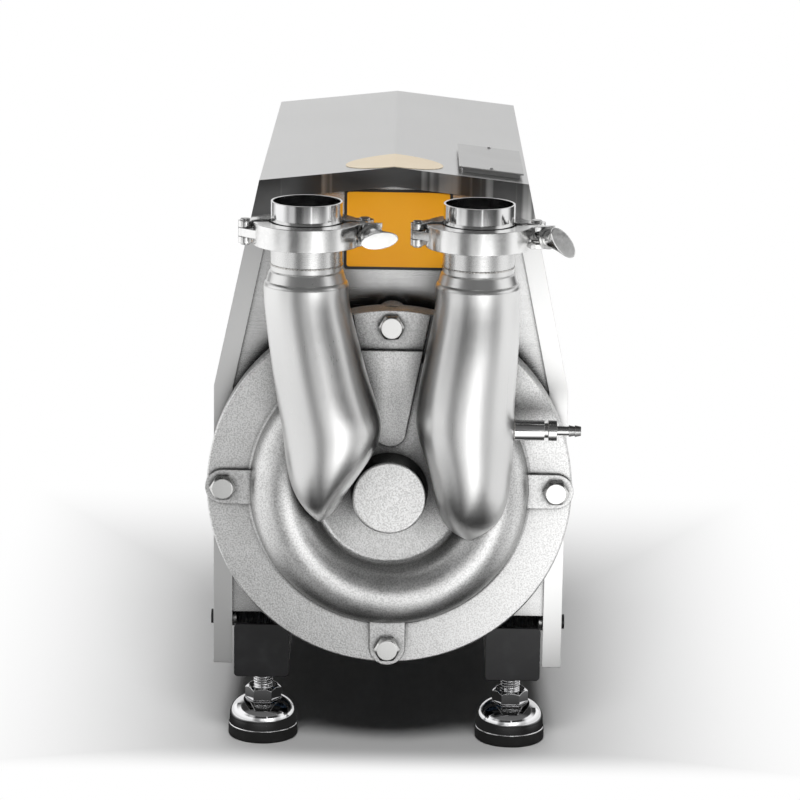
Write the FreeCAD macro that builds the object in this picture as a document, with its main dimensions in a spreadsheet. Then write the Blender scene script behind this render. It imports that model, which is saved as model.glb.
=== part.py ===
"""Self-priming sanitary pump with twin top ports, in a sheet shroud on four levelling feet.

Millimetres, +Z up, +Y from the pump cover back to the motor, +X to the right seen from the cover.
The origin is on the floor, below the pump axis, halfway along the machine.
"""

import FreeCAD, Part
import math
import os

import Sketcher

doc = FreeCAD.newDocument("SanitaryPump")
sheet = doc.addObject("Spreadsheet::Sheet", "Sizes")

SIZES = [
    # pump line
    ("axis_height", 213, "pump and motor axis above the floor"),
    ("front_face", -178, "front face of the cover flange, along the machine"),
    ("rim_radius", 134, "cover and rear casing flange"),
    ("flange_thick", 10, "each of the two flanges"),
    ("edge_break", 1, "small chamfers on castings"),
    ("plate_front", 5, "inner plate of the cover, ahead of the flange"),
    ("plate_back", 3, "inner face of the cover, behind the flange face"),
    ("hub_radius", 27.2, "round hub of the cover"),
    ("hub_reach", 27, "hub face ahead of the flange"),
    ("hub_wall", 7, "wall of the hub"),
    ("channel_radius", 79, "middle of the ring channel from the axis"),
    ("channel_bore", 18, "radius of the ring channel"),
    ("cast_wall", 5, "wall round the ring channel"),
    ("channel_depth", 2, "centre of the channel section ahead of the flange"),
    ("channel_sweep", 300, "degrees that the ring channel runs"),
    ("inner_fillet", 5, "channel to inner plate"),
    ("outer_fillet", 3, "channel to flange"),
    ("chamber_radius", 103.5, "impeller chamber"),
    ("bolt_circle", 122, "cover bolts from the axis"),
    ("bolt_radius", 5, "cover bolt shank"),
    ("bolt_head", 17, "cover bolt across flats"),
    ("bolt_head_high", 6.4, "cover bolt head"),
    ("bolt_gap", 0.5, "clearance round a bolt shank"),
    ("boss_radius", 13, "round end of a bolt boss"),
    ("boss_high", 3, "bolt boss ahead of the flange"),
    ("web_high", 7, "wedge web ahead of the flange"),
    ("web_top_half", 28, "half width of the web at the rim"),
    ("web_foot_half", 11.6, "half width of the web at its round foot"),
    ("web_foot", 45, "centre of the round foot above the axis"),
    ("web_step", 105, "step in the web above the axis"),
    ("casing_back", 8, "back plate of the rear casing"),
    ("casing_plate_radius", 106, "back plate of the rear casing"),
    ("seal_boss_radius", 36, "seal housing, outside"),
    ("seal_boss_long", 14, "seal housing behind the back plate"),
    ("seal_room", 28, "seal housing, inside"),
    ("ring_groove", 106.3, "cover ring, centre radius"),
    ("ring_section", 2, "cover ring, section radius"),
    # rotor
    ("impeller_radius", 100, "tip of the vanes"),
    ("impeller_wide", 13.6, "vanes along the axis"),
    ("impeller_hub", 23, "hub of the impeller"),
    ("vane_thick", 4, "each vane"),
    ("vane_count", 12, "number of vanes"),
    ("side_gap", 0.5, "impeller to each side plate"),
    ("nose_radius", 9, "threaded nose of the pump shaft"),
    ("seat_radius", 11, "impeller seat of the pump shaft"),
    ("sleeve_radius", 17.5, "pump shaft at the seal"),
    ("coupling_radius", 26, "clamp hub of the pump shaft"),
    ("drive_radius", 14, "motor shaft, drive end"),
    ("seal_ring_radius", 24.5, "rotating seal ring"),
    ("run_gap", 0.05, "running fit, radial"),
    ("clear_gap", 0.3, "clearance between bodies"),
    # pipes and ports
    ("port_x", 61, "each port from the middle"),
    ("port_reach", 38, "port axis ahead of the flange"),
    ("pipe_radius", 30.15, "pipe, outside"),
    ("belly_radius", 35.7, "pipe where it is widest"),
    ("pipe_wall", 2, "pipe wall"),
    ("shoulder_height", 373, "top of the full pipe above the floor"),
    ("tube_radius", 25.4, "port tube, outside"),
    ("tube_wall", 1.5, "port tube wall"),
    ("gasket_height", 410.3, "gasket plane above the floor"),
    ("gasket_half", 1, "half of the gasket at its rim"),
    ("bead_radius", 27.8, "gasket bead from the port axis"),
    ("bead_section", 1.9, "gasket bead section"),
    ("ferrule_radius", 32, "ferrule rim"),
    ("ferrule_rim", 2.85, "ferrule thickness at its rim"),
    ("ferrule_long", 21.5, "ferrule from its face to its tube end"),
    ("ferrule_slope", 20, "degrees of the ferrule's back face"),
    # clamps
    ("band_radius", 38, "clamp band, outside"),
    ("band_bore", 27, "clamp band, inside"),
    ("band_half", 8, "half of the clamp's height"),
    ("band_open", 10, "degrees between a half's end and the split"),
    ("hinge_reach", 43.5, "hinge pin from the port axis"),
    ("knuckle_radius", 5, "hinge knuckle"),
    ("tongue_half", 3, "half height of the hinge tongue"),
    ("hinge_pin", 2, "hinge pin radius"),
    ("pin_head", 3.4, "pin head radius"),
    ("pin_head_high", 1.5, "pin head"),
    ("swing_x", 41, "swing pin from the port axis, outwards"),
    ("swing_y", 10, "swing pin behind the port axis"),
    ("swing_pin", 2.5, "swing pin radius"),
    ("eye_radius", 6, "eye of the swing bolt"),
    ("eye_half", 4, "half thickness of the eye"),
    ("lug_radius", 6.5, "lug round the swing pin"),
    ("ear_back", 2.5, "back of the front ear ahead of the port axis"),
    ("ear_seat", 18.3, "front of the ear from the swing pin"),
    ("ear_end", 53.5, "end of the front ear from the port axis"),
    ("ear_hollow", 14, "concave side of the front ear"),
    ("slot_half", 4.6, "half height of the bolt slot"),
    ("bolt_thread", 3.95, "swing bolt shank radius"),
    ("bolt_long", 36, "swing bolt from its pin to its end"),
    ("inlet_lean", 16, "degrees that the inlet swing bolt leans outwards"),
    ("outlet_lean", 26, "degrees that the outlet swing bolt leans outwards"),
    ("washer_radius", 8.2, "clamp washer"),
    ("washer_thick", 1.4, "clamp washer"),
    ("nut_long", 20, "wing nut along its bolt"),
    ("nut_hub", 6.2, "wing nut at its washer"),
    ("wing_half", 13.5, "half span of the wings"),
    ("wing_thick", 6, "half thickness of the wings"),
    ("nut_end_wall", 2.6, "closed end of the wing nut"),
    ("inlet_nut_turn", -6, "degrees that the inlet wing nut stands turned"),
    ("outlet_nut_turn", 51, "degrees that the outlet wing nut stands turned"),
    # drain barb
    ("barb_height", 267, "drain barb above the floor"),
    ("barb_reach", 33, "drain barb ahead of the flange"),
    ("barb_from", 70, "start of the drain hole from the middle"),
    ("barb_sleeve", 7.3, "sleeve radius"),
    ("barb_sleeve_end", 111, "end of the sleeve from the middle"),
    ("barb_thread", 5.4, "threaded neck radius"),
    ("barb_knurl", 7.4, "knurled ring radius"),
    ("barb_knurl_from", 113.9, "knurled ring, near side"),
    ("barb_knurl_to", 120, "knurled ring, far side"),
    ("barb_tail", 3.4, "barb tail radius"),
    ("barb_ridge", 4.3, "barb ridge radius"),
    ("barb_end", 137.4, "end of the barb from the middle"),
    ("barb_bore", 2.2, "bore of the barb"),
    # base
    ("rail_x", 94.5, "each rail from the middle"),
    ("rail_wide", 40, "square rail"),
    ("rail_wall", 2, "rail wall"),
    ("rail_round", 3, "rail corner radius"),
    ("rail_bottom", 58, "underside of the rails above the floor"),
    ("rail_front", 30, "front end of the rails behind the flange face"),
    ("rail_back", 428, "back end of the rails behind the flange face"),
    ("cap_thick", 4, "end cap flange"),
    ("cap_proud", 0.5, "end cap flange beyond the rail"),
    ("cap_plug", 12, "end cap plug"),
    ("cross_thick", 3, "cross strap thickness"),
    ("cross_wide", 50, "cross strap along the rails"),
    # feet
    ("foot_front", 63, "front feet behind the flange face"),
    ("foot_back", 395, "back feet behind the flange face"),
    ("pad_radius", 26.4, "rubber foot pad"),
    ("pad_high", 8.5, "rubber foot pad"),
    ("cup_radius", 26, "foot cup"),
    ("cup_side", 7, "straight side of the foot cup"),
    ("cup_top", 29, "top of the foot cup above the floor"),
    ("stud_radius", 7, "levelling stud"),
    ("stud_socket", 6, "stud end in the cup"),
    ("stud_top", 83, "top of the stud above the floor"),
    ("stud_hex", 24, "stud hexagon across flats"),
    ("stud_hex_high", 10, "stud hexagon"),
    ("foot_nut", 22, "foot nut across flats"),
    ("foot_nut_high", 8, "jam nut"),
    # shroud
    ("shroud_half", 131, "half width of the shroud"),
    ("shroud_front", 36, "front of the shroud behind the flange face"),
    ("shroud_long", 391, "shroud along the machine"),
    ("shroud_bottom", 65, "lower edge of the shroud above the floor"),
    ("shroud_bend", 280, "side bend above the floor"),
    ("shoulder_half", 98.3, "half width at the roof edge"),
    ("roof_edge", 434, "roof edge above the floor"),
    ("roof_ridge", 445, "roof ridge above the floor"),
    ("sheet_thick", 1.5, "stainless sheet"),
    ("return_wide", 14, "front return flange"),
    ("panel_bottom", 105, "lower edge of the panels above the floor"),
    ("panel_hole", 96, "hole for the lantern in the front panel"),
    ("louver_count", 7, "vent slots in the rear panel"),
    ("louver_half", 70, "half length of a vent slot"),
    ("louver_high", 6, "height of a vent slot"),
    ("louver_pitch", 22, "vent slot to vent slot"),
    ("louver_first", 270, "lowest vent slot above the floor"),
    ("side_screw_height", 94, "shroud screws above the floor"),
    ("side_screw_front", 60, "front shroud screws behind the flange face"),
    ("side_screw_back", 400, "back shroud screws behind the flange face"),
    ("side_screw_radius", 3, "shroud screw shank"),
    ("side_screw_head", 5.5, "shroud screw head radius"),
    ("side_screw_high", 3, "shroud screw head"),
    ("standoff_radius", 7, "round standoff between rail and shroud"),
    # motor
    ("motor_face", 90, "motor face behind the flange face"),
    ("shaft_overlap", 60, "motor shaft ahead of the motor face, inside the pump shaft"),
    ("nose_long", 16, "pump shaft ahead of the impeller"),
    ("lantern_flange", 10, "each lantern flange"),
    ("lantern_tube", 62, "lantern tube, outside"),
    ("lantern_wall", 9, "lantern tube wall"),
    ("lantern_front_radius", 100, "lantern front flange"),
    ("motor_flange_radius", 80, "lantern back flange"),
    ("lantern_bolt_front", 86, "front lantern screws from the axis"),
    ("lantern_bolt_back", 70, "back lantern screws from the axis"),
    ("lantern_screw", 4, "lantern screw radius"),
    ("shield_thick", 18, "motor end shield"),
    ("frame_inner", 88, "motor frame, inside"),
    ("frame_outer", 96, "motor frame, root of the fins"),
    ("fin_outer", 108, "tip of the fins"),
    ("fin_thick", 2.5, "each fin"),
    ("frame_long", 216, "motor frame along the axis"),
    ("core_end", 30, "core ahead of the back of the frame"),
    ("core_start", 36, "core behind the front of the frame"),
    ("core_bore", 52, "stator bore"),
    ("air_gap", 0.5, "rotor to stator"),
    ("bearing_seat", 15, "shaft at the bearings"),
    ("bearing_outer", 31, "bearing, outside"),
    ("bearing_wide", 16, "bearing width"),
    ("core_seat", 18, "shaft in the rotor core"),
    ("fan_seat", 12, "shaft in the fan"),
    ("fan_radius", 84, "tip of the fan blades"),
    ("fan_wide", 22, "fan along the axis"),
    ("cowl_outer", 104, "fan cowl"),
    ("cowl_long", 56, "fan cowl along the axis"),
    ("motor_foot_x", 94.5, "motor foot bolts from the middle"),
    ("motor_foot_front", 56, "front foot bolts behind the motor face"),
    ("motor_foot_back", 196, "back foot bolts behind the motor face"),
    ("motor_foot_wide", 36, "each foot along the axis"),
    ("motor_foot_thick", 11, "each foot"),
    ("motor_bolt", 5, "motor foot bolt radius"),
    ("box_half", 55, "half width of the terminal box"),
    ("box_long", 110, "terminal box along the axis"),
    ("box_high", 34, "terminal box height"),
    ("box_wall", 3, "terminal box wall"),
    ("lid_thick", 6, "terminal box lid"),
    ("gland_radius", 10, "cable gland"),
    ("gland_bore", 6.5, "cable gland bore"),
]

# pipe stations from the shoulder down: height, middle, half width, front and back of the section
STATION_FIELDS = ("height", "across", "half", "front", "back")
LETTERS = "abcdefghi"
PIPE_STATIONS = {
    "inlet": (
        (373, 61, 30.15, 68.2, -7.85),
        (346, 58.2, 31.2, 69.3, -6.8),
        (318, 52.8, 33, 71.1, -5),
        (292, 46.8, 34.9, 73, -3.1),
        (267, 41.8, 35.5, 73.6, -2.3),
        (243, 45, 29.8, 69.4, 2),
        (221, 49.4, 20.8, 58.8, 6),
        (204, 50, 11.8, 43, 6),
        (194.8, 50, 3.2, 28, 6),
    ),
    "outlet": (
        (373, 61, 30.15, 68.2, -7.85),
        (347, 60.2, 31, 69.2, -7),
        (321, 57.4, 33.2, 71.5, -4.8),
        (295, 54.6, 34.8, 73, -3.2),
        (270, 54, 35, 73.5, -2.2),
        (246, 57, 31.6, 71, 1.5),
        (222, 59.4, 27.8, 64.5, 5),
        (200, 59.4, 22.4, 49, 6),
        (181, 59, 5, 23, 6),
    ),
}
for side, stations in PIPE_STATIONS.items():
    for number, station in enumerate(stations, start=1):
        for field, length in zip(STATION_FIELDS, station):
            alias = "%s_station_%s_%s" % (side, LETTERS[number - 1], field)
            SIZES.append((alias, length, "%s pipe, station %d, %s" % (side, number, field)))


class Size:
    """A length that carries its spreadsheet formula and its present value."""

    def __init__(self, formula, value):
        self.formula = formula
        self.value = value

    def __add__(self, other):
        return joined(self, "+", other)

    def __radd__(self, other):
        return joined(other, "+", self)

    def __sub__(self, other):
        return joined(self, "-", other)

    def __rsub__(self, other):
        return joined(other, "-", self)

    def __mul__(self, other):
        return joined(self, "*", other)

    def __rmul__(self, other):
        return joined(other, "*", self)

    def __truediv__(self, other):
        return joined(self, "/", other)

    def __rtruediv__(self, other):
        return joined(other, "/", self)

    def __neg__(self):
        return joined(0, "-", self)


def lift(number):
    """Any number as a Size."""
    if isinstance(number, Size):
        return number
    return Size("(%r)" % float(number), float(number))


def joined(left, sign, right):
    """Two sizes joined by + - * or /."""
    left = lift(left)
    right = lift(right)
    values = {
        "+": lambda: left.value + right.value,
        "-": lambda: left.value - right.value,
        "*": lambda: left.value * right.value,
        "/": lambda: left.value / right.value,
    }
    return Size("(%s %s %s)" % (left.formula, sign, right.formula), values[sign]())


def root(number):
    """Square root of a size."""
    return Size("sqrt(%s)" % number.formula, math.sqrt(number.value))


def sine(angle):
    """Sine of an angle in degrees."""
    angle = lift(angle)
    return Size("sin(%s)" % angle.formula, math.sin(math.radians(angle.value)))


def cosine(angle):
    """Cosine of an angle in degrees."""
    angle = lift(angle)
    return Size("cos(%s)" % angle.formula, math.cos(math.radians(angle.value)))


class Sizes:
    """Every driving size of the sheet, by its alias."""


D = Sizes()
for row, (alias, number, note) in enumerate(SIZES, start=1):
    sheet.set("A%d" % row, note)
    sheet.set("B%d" % row, str(number))
    sheet.setAlias("B%d" % row, alias)
    setattr(D, alias, Size("Sizes." + alias, float(number)))
doc.recompute()

FIN_COUNT = 24
BLADE_COUNT = 8
SLOT_COUNT = 12
MACHINE = (lift(0), D.front_face, D.axis_height)
X_WAY = (FreeCAD.Vector(0, 1, 0), 90)
X_BACK_WAY = (FreeCAD.Vector(0, 1, 0), -90)
Y_WAY = (FreeCAD.Vector(1, 0, 0), -90)
Y_FRONT_WAY = (FreeCAD.Vector(1, 0, 0), 90)
Z_WAY = (FreeCAD.Vector(0, 0, 1), 0)


def place(item, where, turn=Z_WAY):
    """Set an item down at a point, turned about a direction by degrees."""
    way, angle = turn
    at = FreeCAD.Vector(*[lift(length).value for length in where])
    item.Placement = FreeCAD.Placement(at, FreeCAD.Rotation(way, lift(angle).value))
    for letter, length in zip("xyz", where):
        item.setExpression("Placement.Base." + letter, lift(length).formula)
    if isinstance(angle, Size):
        item.setExpression("Placement.Rotation.Angle", angle.formula)
    return item


def bind(item, **values):
    """Tie an item's properties to their formulas."""
    for name, value in values.items():
        setattr(item, name, lift(value).value)
        item.setExpression(name, lift(value).formula)
    return item


class Arc:
    """A stretch of an outline that runs round a centre to the next corner."""

    def __init__(self, centre, radius, anticlockwise=True):
        self.centre = centre
        self.radius = radius
        self.anticlockwise = anticlockwise


class Drawing:
    """A sketch whose corners are tied to the sheet."""

    def __init__(self, body, plane, offset=None, shift=None):
        face = [item for item in body.Origin.OriginFeatures if item.Role == plane + "_Plane"][0]
        self.sketch = body.newObject("Sketcher::SketchObject", body.Name + "_sketch")
        self.sketch.AttachmentSupport = (face, "")
        self.sketch.MapMode = "FlatFace"
        if offset is not None:
            self.sketch.setExpression("AttachmentOffset.Base.z", lift(offset).formula)
        if shift is not None:
            self.sketch.setExpression("AttachmentOffset.Base.x", lift(shift[0]).formula)
            self.sketch.setExpression("AttachmentOffset.Base.y", lift(shift[1]).formula)

    def tie(self, kind, *where, value):
        """One driving constraint, tied to its formula."""
        rule = Sketcher.Constraint(kind, *where, lift(value).value)
        number = self.sketch.addConstraint(rule)
        self.sketch.setExpression("Constraints[%d]" % number, lift(value).formula)

    def corner(self, line, end, point):
        """Hold one end of a line or arc at a point of the sheet."""
        self.tie("DistanceX", -1, 1, line, end, value=point[0])
        self.tie("DistanceY", -1, 1, line, end, value=point[1])

    def outline(self, *parts):
        """A closed outline of corners, with arcs between some of them."""
        corners = [part for part in parts if not isinstance(part, Arc)]
        arcs = {}
        for part in parts:
            if isinstance(part, Arc):
                arcs[number] = part
            else:
                number = corners.index(part)
        starts = []
        ends = []
        for number, start in enumerate(corners):
            end = corners[(number + 1) % len(corners)]
            first = FreeCAD.Vector(lift(start[0]).value, lift(start[1]).value, 0)
            last = FreeCAD.Vector(lift(end[0]).value, lift(end[1]).value, 0)
            arc = arcs.get(number)
            if arc is None:
                line = self.sketch.addGeometry(Part.LineSegment(first, last), False)
                starts.append((line, 1))
                ends.append((line, 2))
                continue
            middle = FreeCAD.Vector(lift(arc.centre[0]).value, lift(arc.centre[1]).value, 0)
            if not arc.anticlockwise:
                first, last = last, first
            from_angle = math.atan2(first.y - middle.y, first.x - middle.x)
            to_angle = math.atan2(last.y - middle.y, last.x - middle.x)
            if to_angle <= from_angle:
                to_angle += 2 * math.pi
            circle = Part.Circle(middle, FreeCAD.Vector(0, 0, 1), lift(arc.radius).value)
            line = self.sketch.addGeometry(Part.ArcOfCircle(circle, from_angle, to_angle), False)
            if abs(last.y - first.y) > abs(last.x - first.x):
                self.tie("DistanceX", -1, 1, line, 3, value=arc.centre[0])
            else:
                self.tie("DistanceY", -1, 1, line, 3, value=arc.centre[1])
            starts.append((line, 1 if arc.anticlockwise else 2))
            ends.append((line, 2 if arc.anticlockwise else 1))
        for number, corner in enumerate(corners):
            self.corner(*starts[number], corner)
            follows = ends[number - 1]
            self.sketch.addConstraint(Sketcher.Constraint("Coincident", *follows, *starts[number]))
        return self

    def disc(self, centre, radius):
        """A circle."""
        middle = FreeCAD.Vector(lift(centre[0]).value, lift(centre[1]).value, 0)
        circle = Part.Circle(middle, FreeCAD.Vector(0, 0, 1), lift(radius).value)
        line = self.sketch.addGeometry(circle, False)
        self.corner(line, 3, centre)
        self.tie("Radius", line, value=radius)
        return self

    def box(self, low, high):
        """A rectangle between two corners."""
        return self.outline(low, (high[0], low[1]), high, (low[0], high[1]))


class Piece:
    """A PartDesign body, drawn about its own origin and set down in the machine."""

    def __init__(self, label, where=MACHINE, turn=Z_WAY):
        self.body = doc.addObject("PartDesign::Body", label)
        self.body.Label = label
        place(self.body, where, turn)

    def draw(self, plane="XY", offset=None, shift=None):
        """A new sketch on one of the body's own planes."""
        return Drawing(self.body, plane, offset, shift)

    def feature(self, kind, drawing):
        """A new feature from a sketch."""
        item = self.body.newObject("PartDesign::" + kind, self.body.Name + "_" + kind.lower())
        item.Profile = (drawing.sketch, [""])
        drawing.sketch.Visibility = False
        return item

    def turn(self, drawing, axis="V_Axis", angle=360, middle=False, cut=False):
        """Revolve or groove a sketch about one of its own axes."""
        item = self.feature("Groove" if cut else "Revolution", drawing)
        item.ReferenceAxis = (drawing.sketch, [axis])
        bind(item, Angle=angle)
        item.Midplane = middle
        return item

    def pad(self, drawing, length, cut=False, back=False, both=False, through=False):
        """Extrude or cut a sketch."""
        item = self.feature("Pocket" if cut else "Pad", drawing)
        bind(item, Length=length)
        if through:
            item.Type = "ThroughAll"
        if both:
            item.SideType = "Symmetric"
        item.Reversed = back
        return item

    def ring(self, items, drawing, count, angle=360, axis="N_Axis", back=False):
        """Repeat features round an axis of a sketch."""
        pattern = self.body.newObject("PartDesign::PolarPattern", self.body.Name + "_ring")
        pattern.Originals = items
        pattern.Axis = (drawing.sketch, [axis])
        bind(pattern, Angle=angle)
        pattern.Occurrences = int(lift(count).value)
        if isinstance(count, Size):
            pattern.setExpression("Occurrences", count.formula)
        pattern.Reversed = back
        self.body.Tip = pattern
        return pattern

    def edges(self, test):
        """Names of the edges of the last feature that pass a test."""
        doc.recompute()
        names = []
        for number, edge in enumerate(self.body.Tip.Shape.Edges, start=1):
            if test(edge):
                names.append("Edge%d" % number)
        return names

    def soften(self, radius, test, kind="Fillet"):
        """Fillet or chamfer the edges that pass a test."""
        names = self.edges(test)
        base = self.body.Tip
        item = self.body.newObject("PartDesign::" + kind, self.body.Name + "_" + kind.lower())
        item.Base = (base, names)
        bind(item, **{"Radius" if kind == "Fillet" else "Size": radius})
        return item


def along(edge, letter):
    """Whether an edge is a straight line along an axis."""
    if not isinstance(edge.Curve, Part.Line):
        return False
    return abs(abs(getattr(edge.Curve.Direction, letter)) - 1) < 1e-6


def turned(label, where, *parts, about="Y", turn=Z_WAY):
    """A body turned from one outline of (radius, along) corners."""
    piece = Piece(label, where, turn)
    drawing = piece.draw("XY" if about == "Y" else "XZ")
    piece.turn(drawing.outline(*parts))
    return piece


def tube_outline(inner, outer, start, end):
    """Corners of a plain ring section."""
    return ((inner, start), (outer, start), (outer, end), (inner, end))


def cylinder(label, radius, length, where, turn=Z_WAY):
    """A plain cylinder."""
    item = doc.addObject("Part::Cylinder", label)
    bind(item, Radius=radius, Height=length)
    return place(item, where, turn)


def cone(label, low, high, length, where, turn=Z_WAY):
    """A plain cone."""
    item = doc.addObject("Part::Cone", label)
    bind(item, Radius1=low, Radius2=high, Height=length)
    return place(item, where, turn)


def block(label, size, where, turn=Z_WAY):
    """A plain block from its low corner."""
    item = doc.addObject("Part::Box", label)
    bind(item, Length=size[0], Width=size[1], Height=size[2])
    return place(item, where, turn)


def hexagon(label, flats, length, where, turn=Z_WAY):
    """A six-sided prism given across its flats."""
    item = doc.addObject("Part::Prism", label)
    item.Polygon = 6
    bind(item, Circumradius=flats / math.sqrt(3), Height=length)
    return place(item, where, turn)


def fused(label, *items):
    """One solid from several."""
    item = doc.addObject("Part::MultiFuse", label)
    item.Shapes = list(items)
    item.Refine = True
    return item


def less(label, base, *tools):
    """A solid with others taken away."""
    item = doc.addObject("Part::Cut", label)
    item.Base = base
    item.Tool = tools[0] if len(tools) == 1 else fused(label + "_tools", *tools)
    item.Refine = True
    return item


def group(label, items):
    """Separate like solids under one name."""
    item = doc.addObject("Part::Compound", label)
    item.Links = list(items)
    return item


NODES = []


def keep(item, label=None):
    """Count an item among the machine's sub-parts."""
    item = item.body if isinstance(item, Piece) else item
    item.Label = label or item.Label
    NODES.append(item)
    return item


def shifted(base, x=0, y=0, z=0):
    """A point moved by some lengths."""
    return (base[0] + x, base[1] + y, base[2] + z)


# front cover


def channel_end(fillet, level, side):
    """Where the ring channel's outside meets a face: fillet centre, and its two tangent points."""
    outer = D.channel_bore + D.cast_wall
    reach = outer + fillet
    drop = level - fillet + D.channel_depth
    run = root(reach * reach - drop * drop)
    centre = (D.channel_radius + side * run, level - fillet)
    on_face = (centre[0], level)
    share = outer / reach
    on_ring = (D.channel_radius + side * run * share, drop * share - D.channel_depth)
    return centre, on_face, on_ring


def make_front_cover(pipe_skins):
    """The cast cover: flange, ring channel, hub, bolt bosses and the wedge web."""
    piece = Piece("front_cover_casting")
    base = piece.draw("XY").outline(
        (0, -D.hub_reach),
        (D.hub_radius - 2 * D.edge_break, -D.hub_reach),
        Arc((D.hub_radius - 2 * D.edge_break, -D.hub_reach + 2 * D.edge_break), 2 * D.edge_break),
        (D.hub_radius, -D.hub_reach + 2 * D.edge_break),
        (D.hub_radius + D.edge_break, -D.plate_front),
        (D.chamber_radius - D.plate_front, -D.plate_front),
        (D.chamber_radius, 0),
        (D.rim_radius - D.edge_break, 0),
        (D.rim_radius, D.edge_break),
        (D.rim_radius, D.flange_thick),
        (D.chamber_radius, D.flange_thick),
        (D.chamber_radius, D.plate_back),
        (D.hub_radius - D.hub_wall, D.plate_back),
        (D.hub_radius - D.hub_wall, -D.hub_reach + D.hub_wall),
        (0, -D.hub_reach + D.hub_wall),
    )
    piece.turn(base)
    outer = D.channel_bore + D.cast_wall
    inner_centre, inner_face, inner_ring = channel_end(D.inner_fillet, -D.plate_front, -1)
    outer_centre, outer_face, outer_ring = channel_end(D.outer_fillet, lift(0), 1)
    seam = D.plate_back - D.edge_break
    bulge = piece.draw("YZ").outline(
        (seam, -inner_face[0]),
        (inner_face[1], -inner_face[0]),
        Arc((inner_centre[1], -inner_centre[0]), D.inner_fillet, False),
        (inner_ring[1], -inner_ring[0]),
        Arc((-D.channel_depth, -D.channel_radius), outer),
        (outer_ring[1], -outer_ring[0]),
        Arc((outer_centre[1], -outer_centre[0]), D.outer_fillet, False),
        (outer_face[1], -outer_face[0]),
        (seam, -outer_face[0]),
    )
    piece.turn(bulge, "H_Axis", D.channel_sweep, middle=True)
    mouth = D.plate_back + D.edge_break
    channel = piece.draw("YZ").outline(
        (mouth, -D.channel_radius + D.channel_bore),
        (-D.channel_depth, -D.channel_radius + D.channel_bore),
        Arc((-D.channel_depth, -D.channel_radius), D.channel_bore),
        (-D.channel_depth, -D.channel_radius - D.channel_bore),
        (mouth, -D.channel_radius - D.channel_bore),
    )
    piece.turn(channel, "H_Axis", D.channel_sweep - 4 * D.cast_wall, middle=True, cut=True)
    boss_end = D.bolt_circle
    boss = piece.draw("XZ", offset=-D.edge_break).outline(
        (D.chamber_radius - D.outer_fillet, -D.boss_radius),
        (boss_end, -D.boss_radius),
        Arc((boss_end, 0), D.boss_radius),
        (boss_end, D.boss_radius),
        (D.chamber_radius - D.outer_fillet, D.boss_radius),
    )
    boss_pad = piece.pad(boss, D.boss_high + D.edge_break)
    boss_ring = piece.draw("XZ").disc((boss_end, 0), D.boss_radius)
    boss_back = piece.pad(boss_ring, D.flange_thick, back=True)
    piece.ring([boss_pad, boss_back], boss, 3, 180, back=True)
    web_rim = D.rim_radius
    web_shoulder = root(web_rim * web_rim - D.web_top_half * D.web_top_half)
    web = piece.draw("XZ", offset=-D.edge_break).outline(
        (D.web_foot_half, D.web_foot),
        (D.web_top_half, web_shoulder),
        Arc((0, 0), web_rim),
        (-D.web_top_half, web_shoulder),
        (-D.web_foot_half, D.web_foot),
        Arc((0, D.web_foot), D.web_foot_half),
    )
    piece.pad(web, D.web_high + D.edge_break)
    step = piece.draw("XZ", offset=D.boss_high).box(
        (-D.web_top_half, D.web_step), (D.web_top_half, D.rim_radius + D.boss_radius)
    )
    piece.pad(step, D.web_high, cut=True, back=True)
    holes = piece.draw("XZ", offset=D.web_high).disc((0, D.bolt_circle), D.bolt_radius + D.bolt_gap)
    hole = piece.pad(holes, D.web_high + D.flange_thick, cut=True)
    piece.ring([hole], holes, 4)
    return keep(less("front_cover", piece.body, *pipe_skins))


def make_rear_casing():
    """The casing behind the impeller, with four bolt bosses and the seal housing."""
    piece = Piece("rear_casing")
    joint = D.flange_thick
    floor = joint + D.flange_thick - 2 * D.edge_break
    back = floor + D.casing_back
    end = back + D.seal_boss_long
    lip = 2 * D.edge_break
    shape = piece.draw("XY").outline(
        (D.chamber_radius, joint),
        (D.ring_groove - D.ring_section, joint),
        (D.ring_groove - D.ring_section, joint + D.ring_section + D.clear_gap),
        (D.ring_groove + D.ring_section, joint + D.ring_section + D.clear_gap),
        (D.ring_groove + D.ring_section, joint),
        (D.rim_radius, joint),
        (D.rim_radius, joint + D.flange_thick - D.edge_break),
        (D.rim_radius - D.edge_break, joint + D.flange_thick),
        (D.casing_plate_radius, joint + D.flange_thick),
        (D.casing_plate_radius, back),
        (D.seal_boss_radius, back),
        (D.seal_boss_radius, end),
        (D.sleeve_radius + lip, end),
        (D.sleeve_radius + lip, end - lip),
        (D.seal_room, end - lip),
        (D.seal_room, floor),
        (D.chamber_radius, floor),
    )
    piece.turn(shape)
    boss = piece.draw("XZ", offset=-joint).disc((D.bolt_circle, 0), D.boss_radius)
    boss_pad = piece.pad(boss, D.flange_thick + D.casing_back, back=True)
    piece.ring([boss_pad], boss, 4)
    hole = piece.draw("XZ", offset=-joint).disc((D.bolt_circle, 0), D.bolt_radius + D.clear_gap)
    bolt_hole = piece.pad(hole, D.flange_thick + D.casing_back - D.cast_wall, cut=True)
    bolt_hole.Reversed = False
    piece.ring([bolt_hole], hole, 4)
    screw = piece.draw("XZ", offset=-back).disc((D.lantern_bolt_front, 0), D.lantern_screw + D.clear_gap)
    screw_hole = piece.pad(screw, D.casing_back - 2 * D.edge_break, cut=True)
    screw_hole.Reversed = True
    piece.ring([screw_hole], screw, 4)
    return keep(piece)


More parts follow.
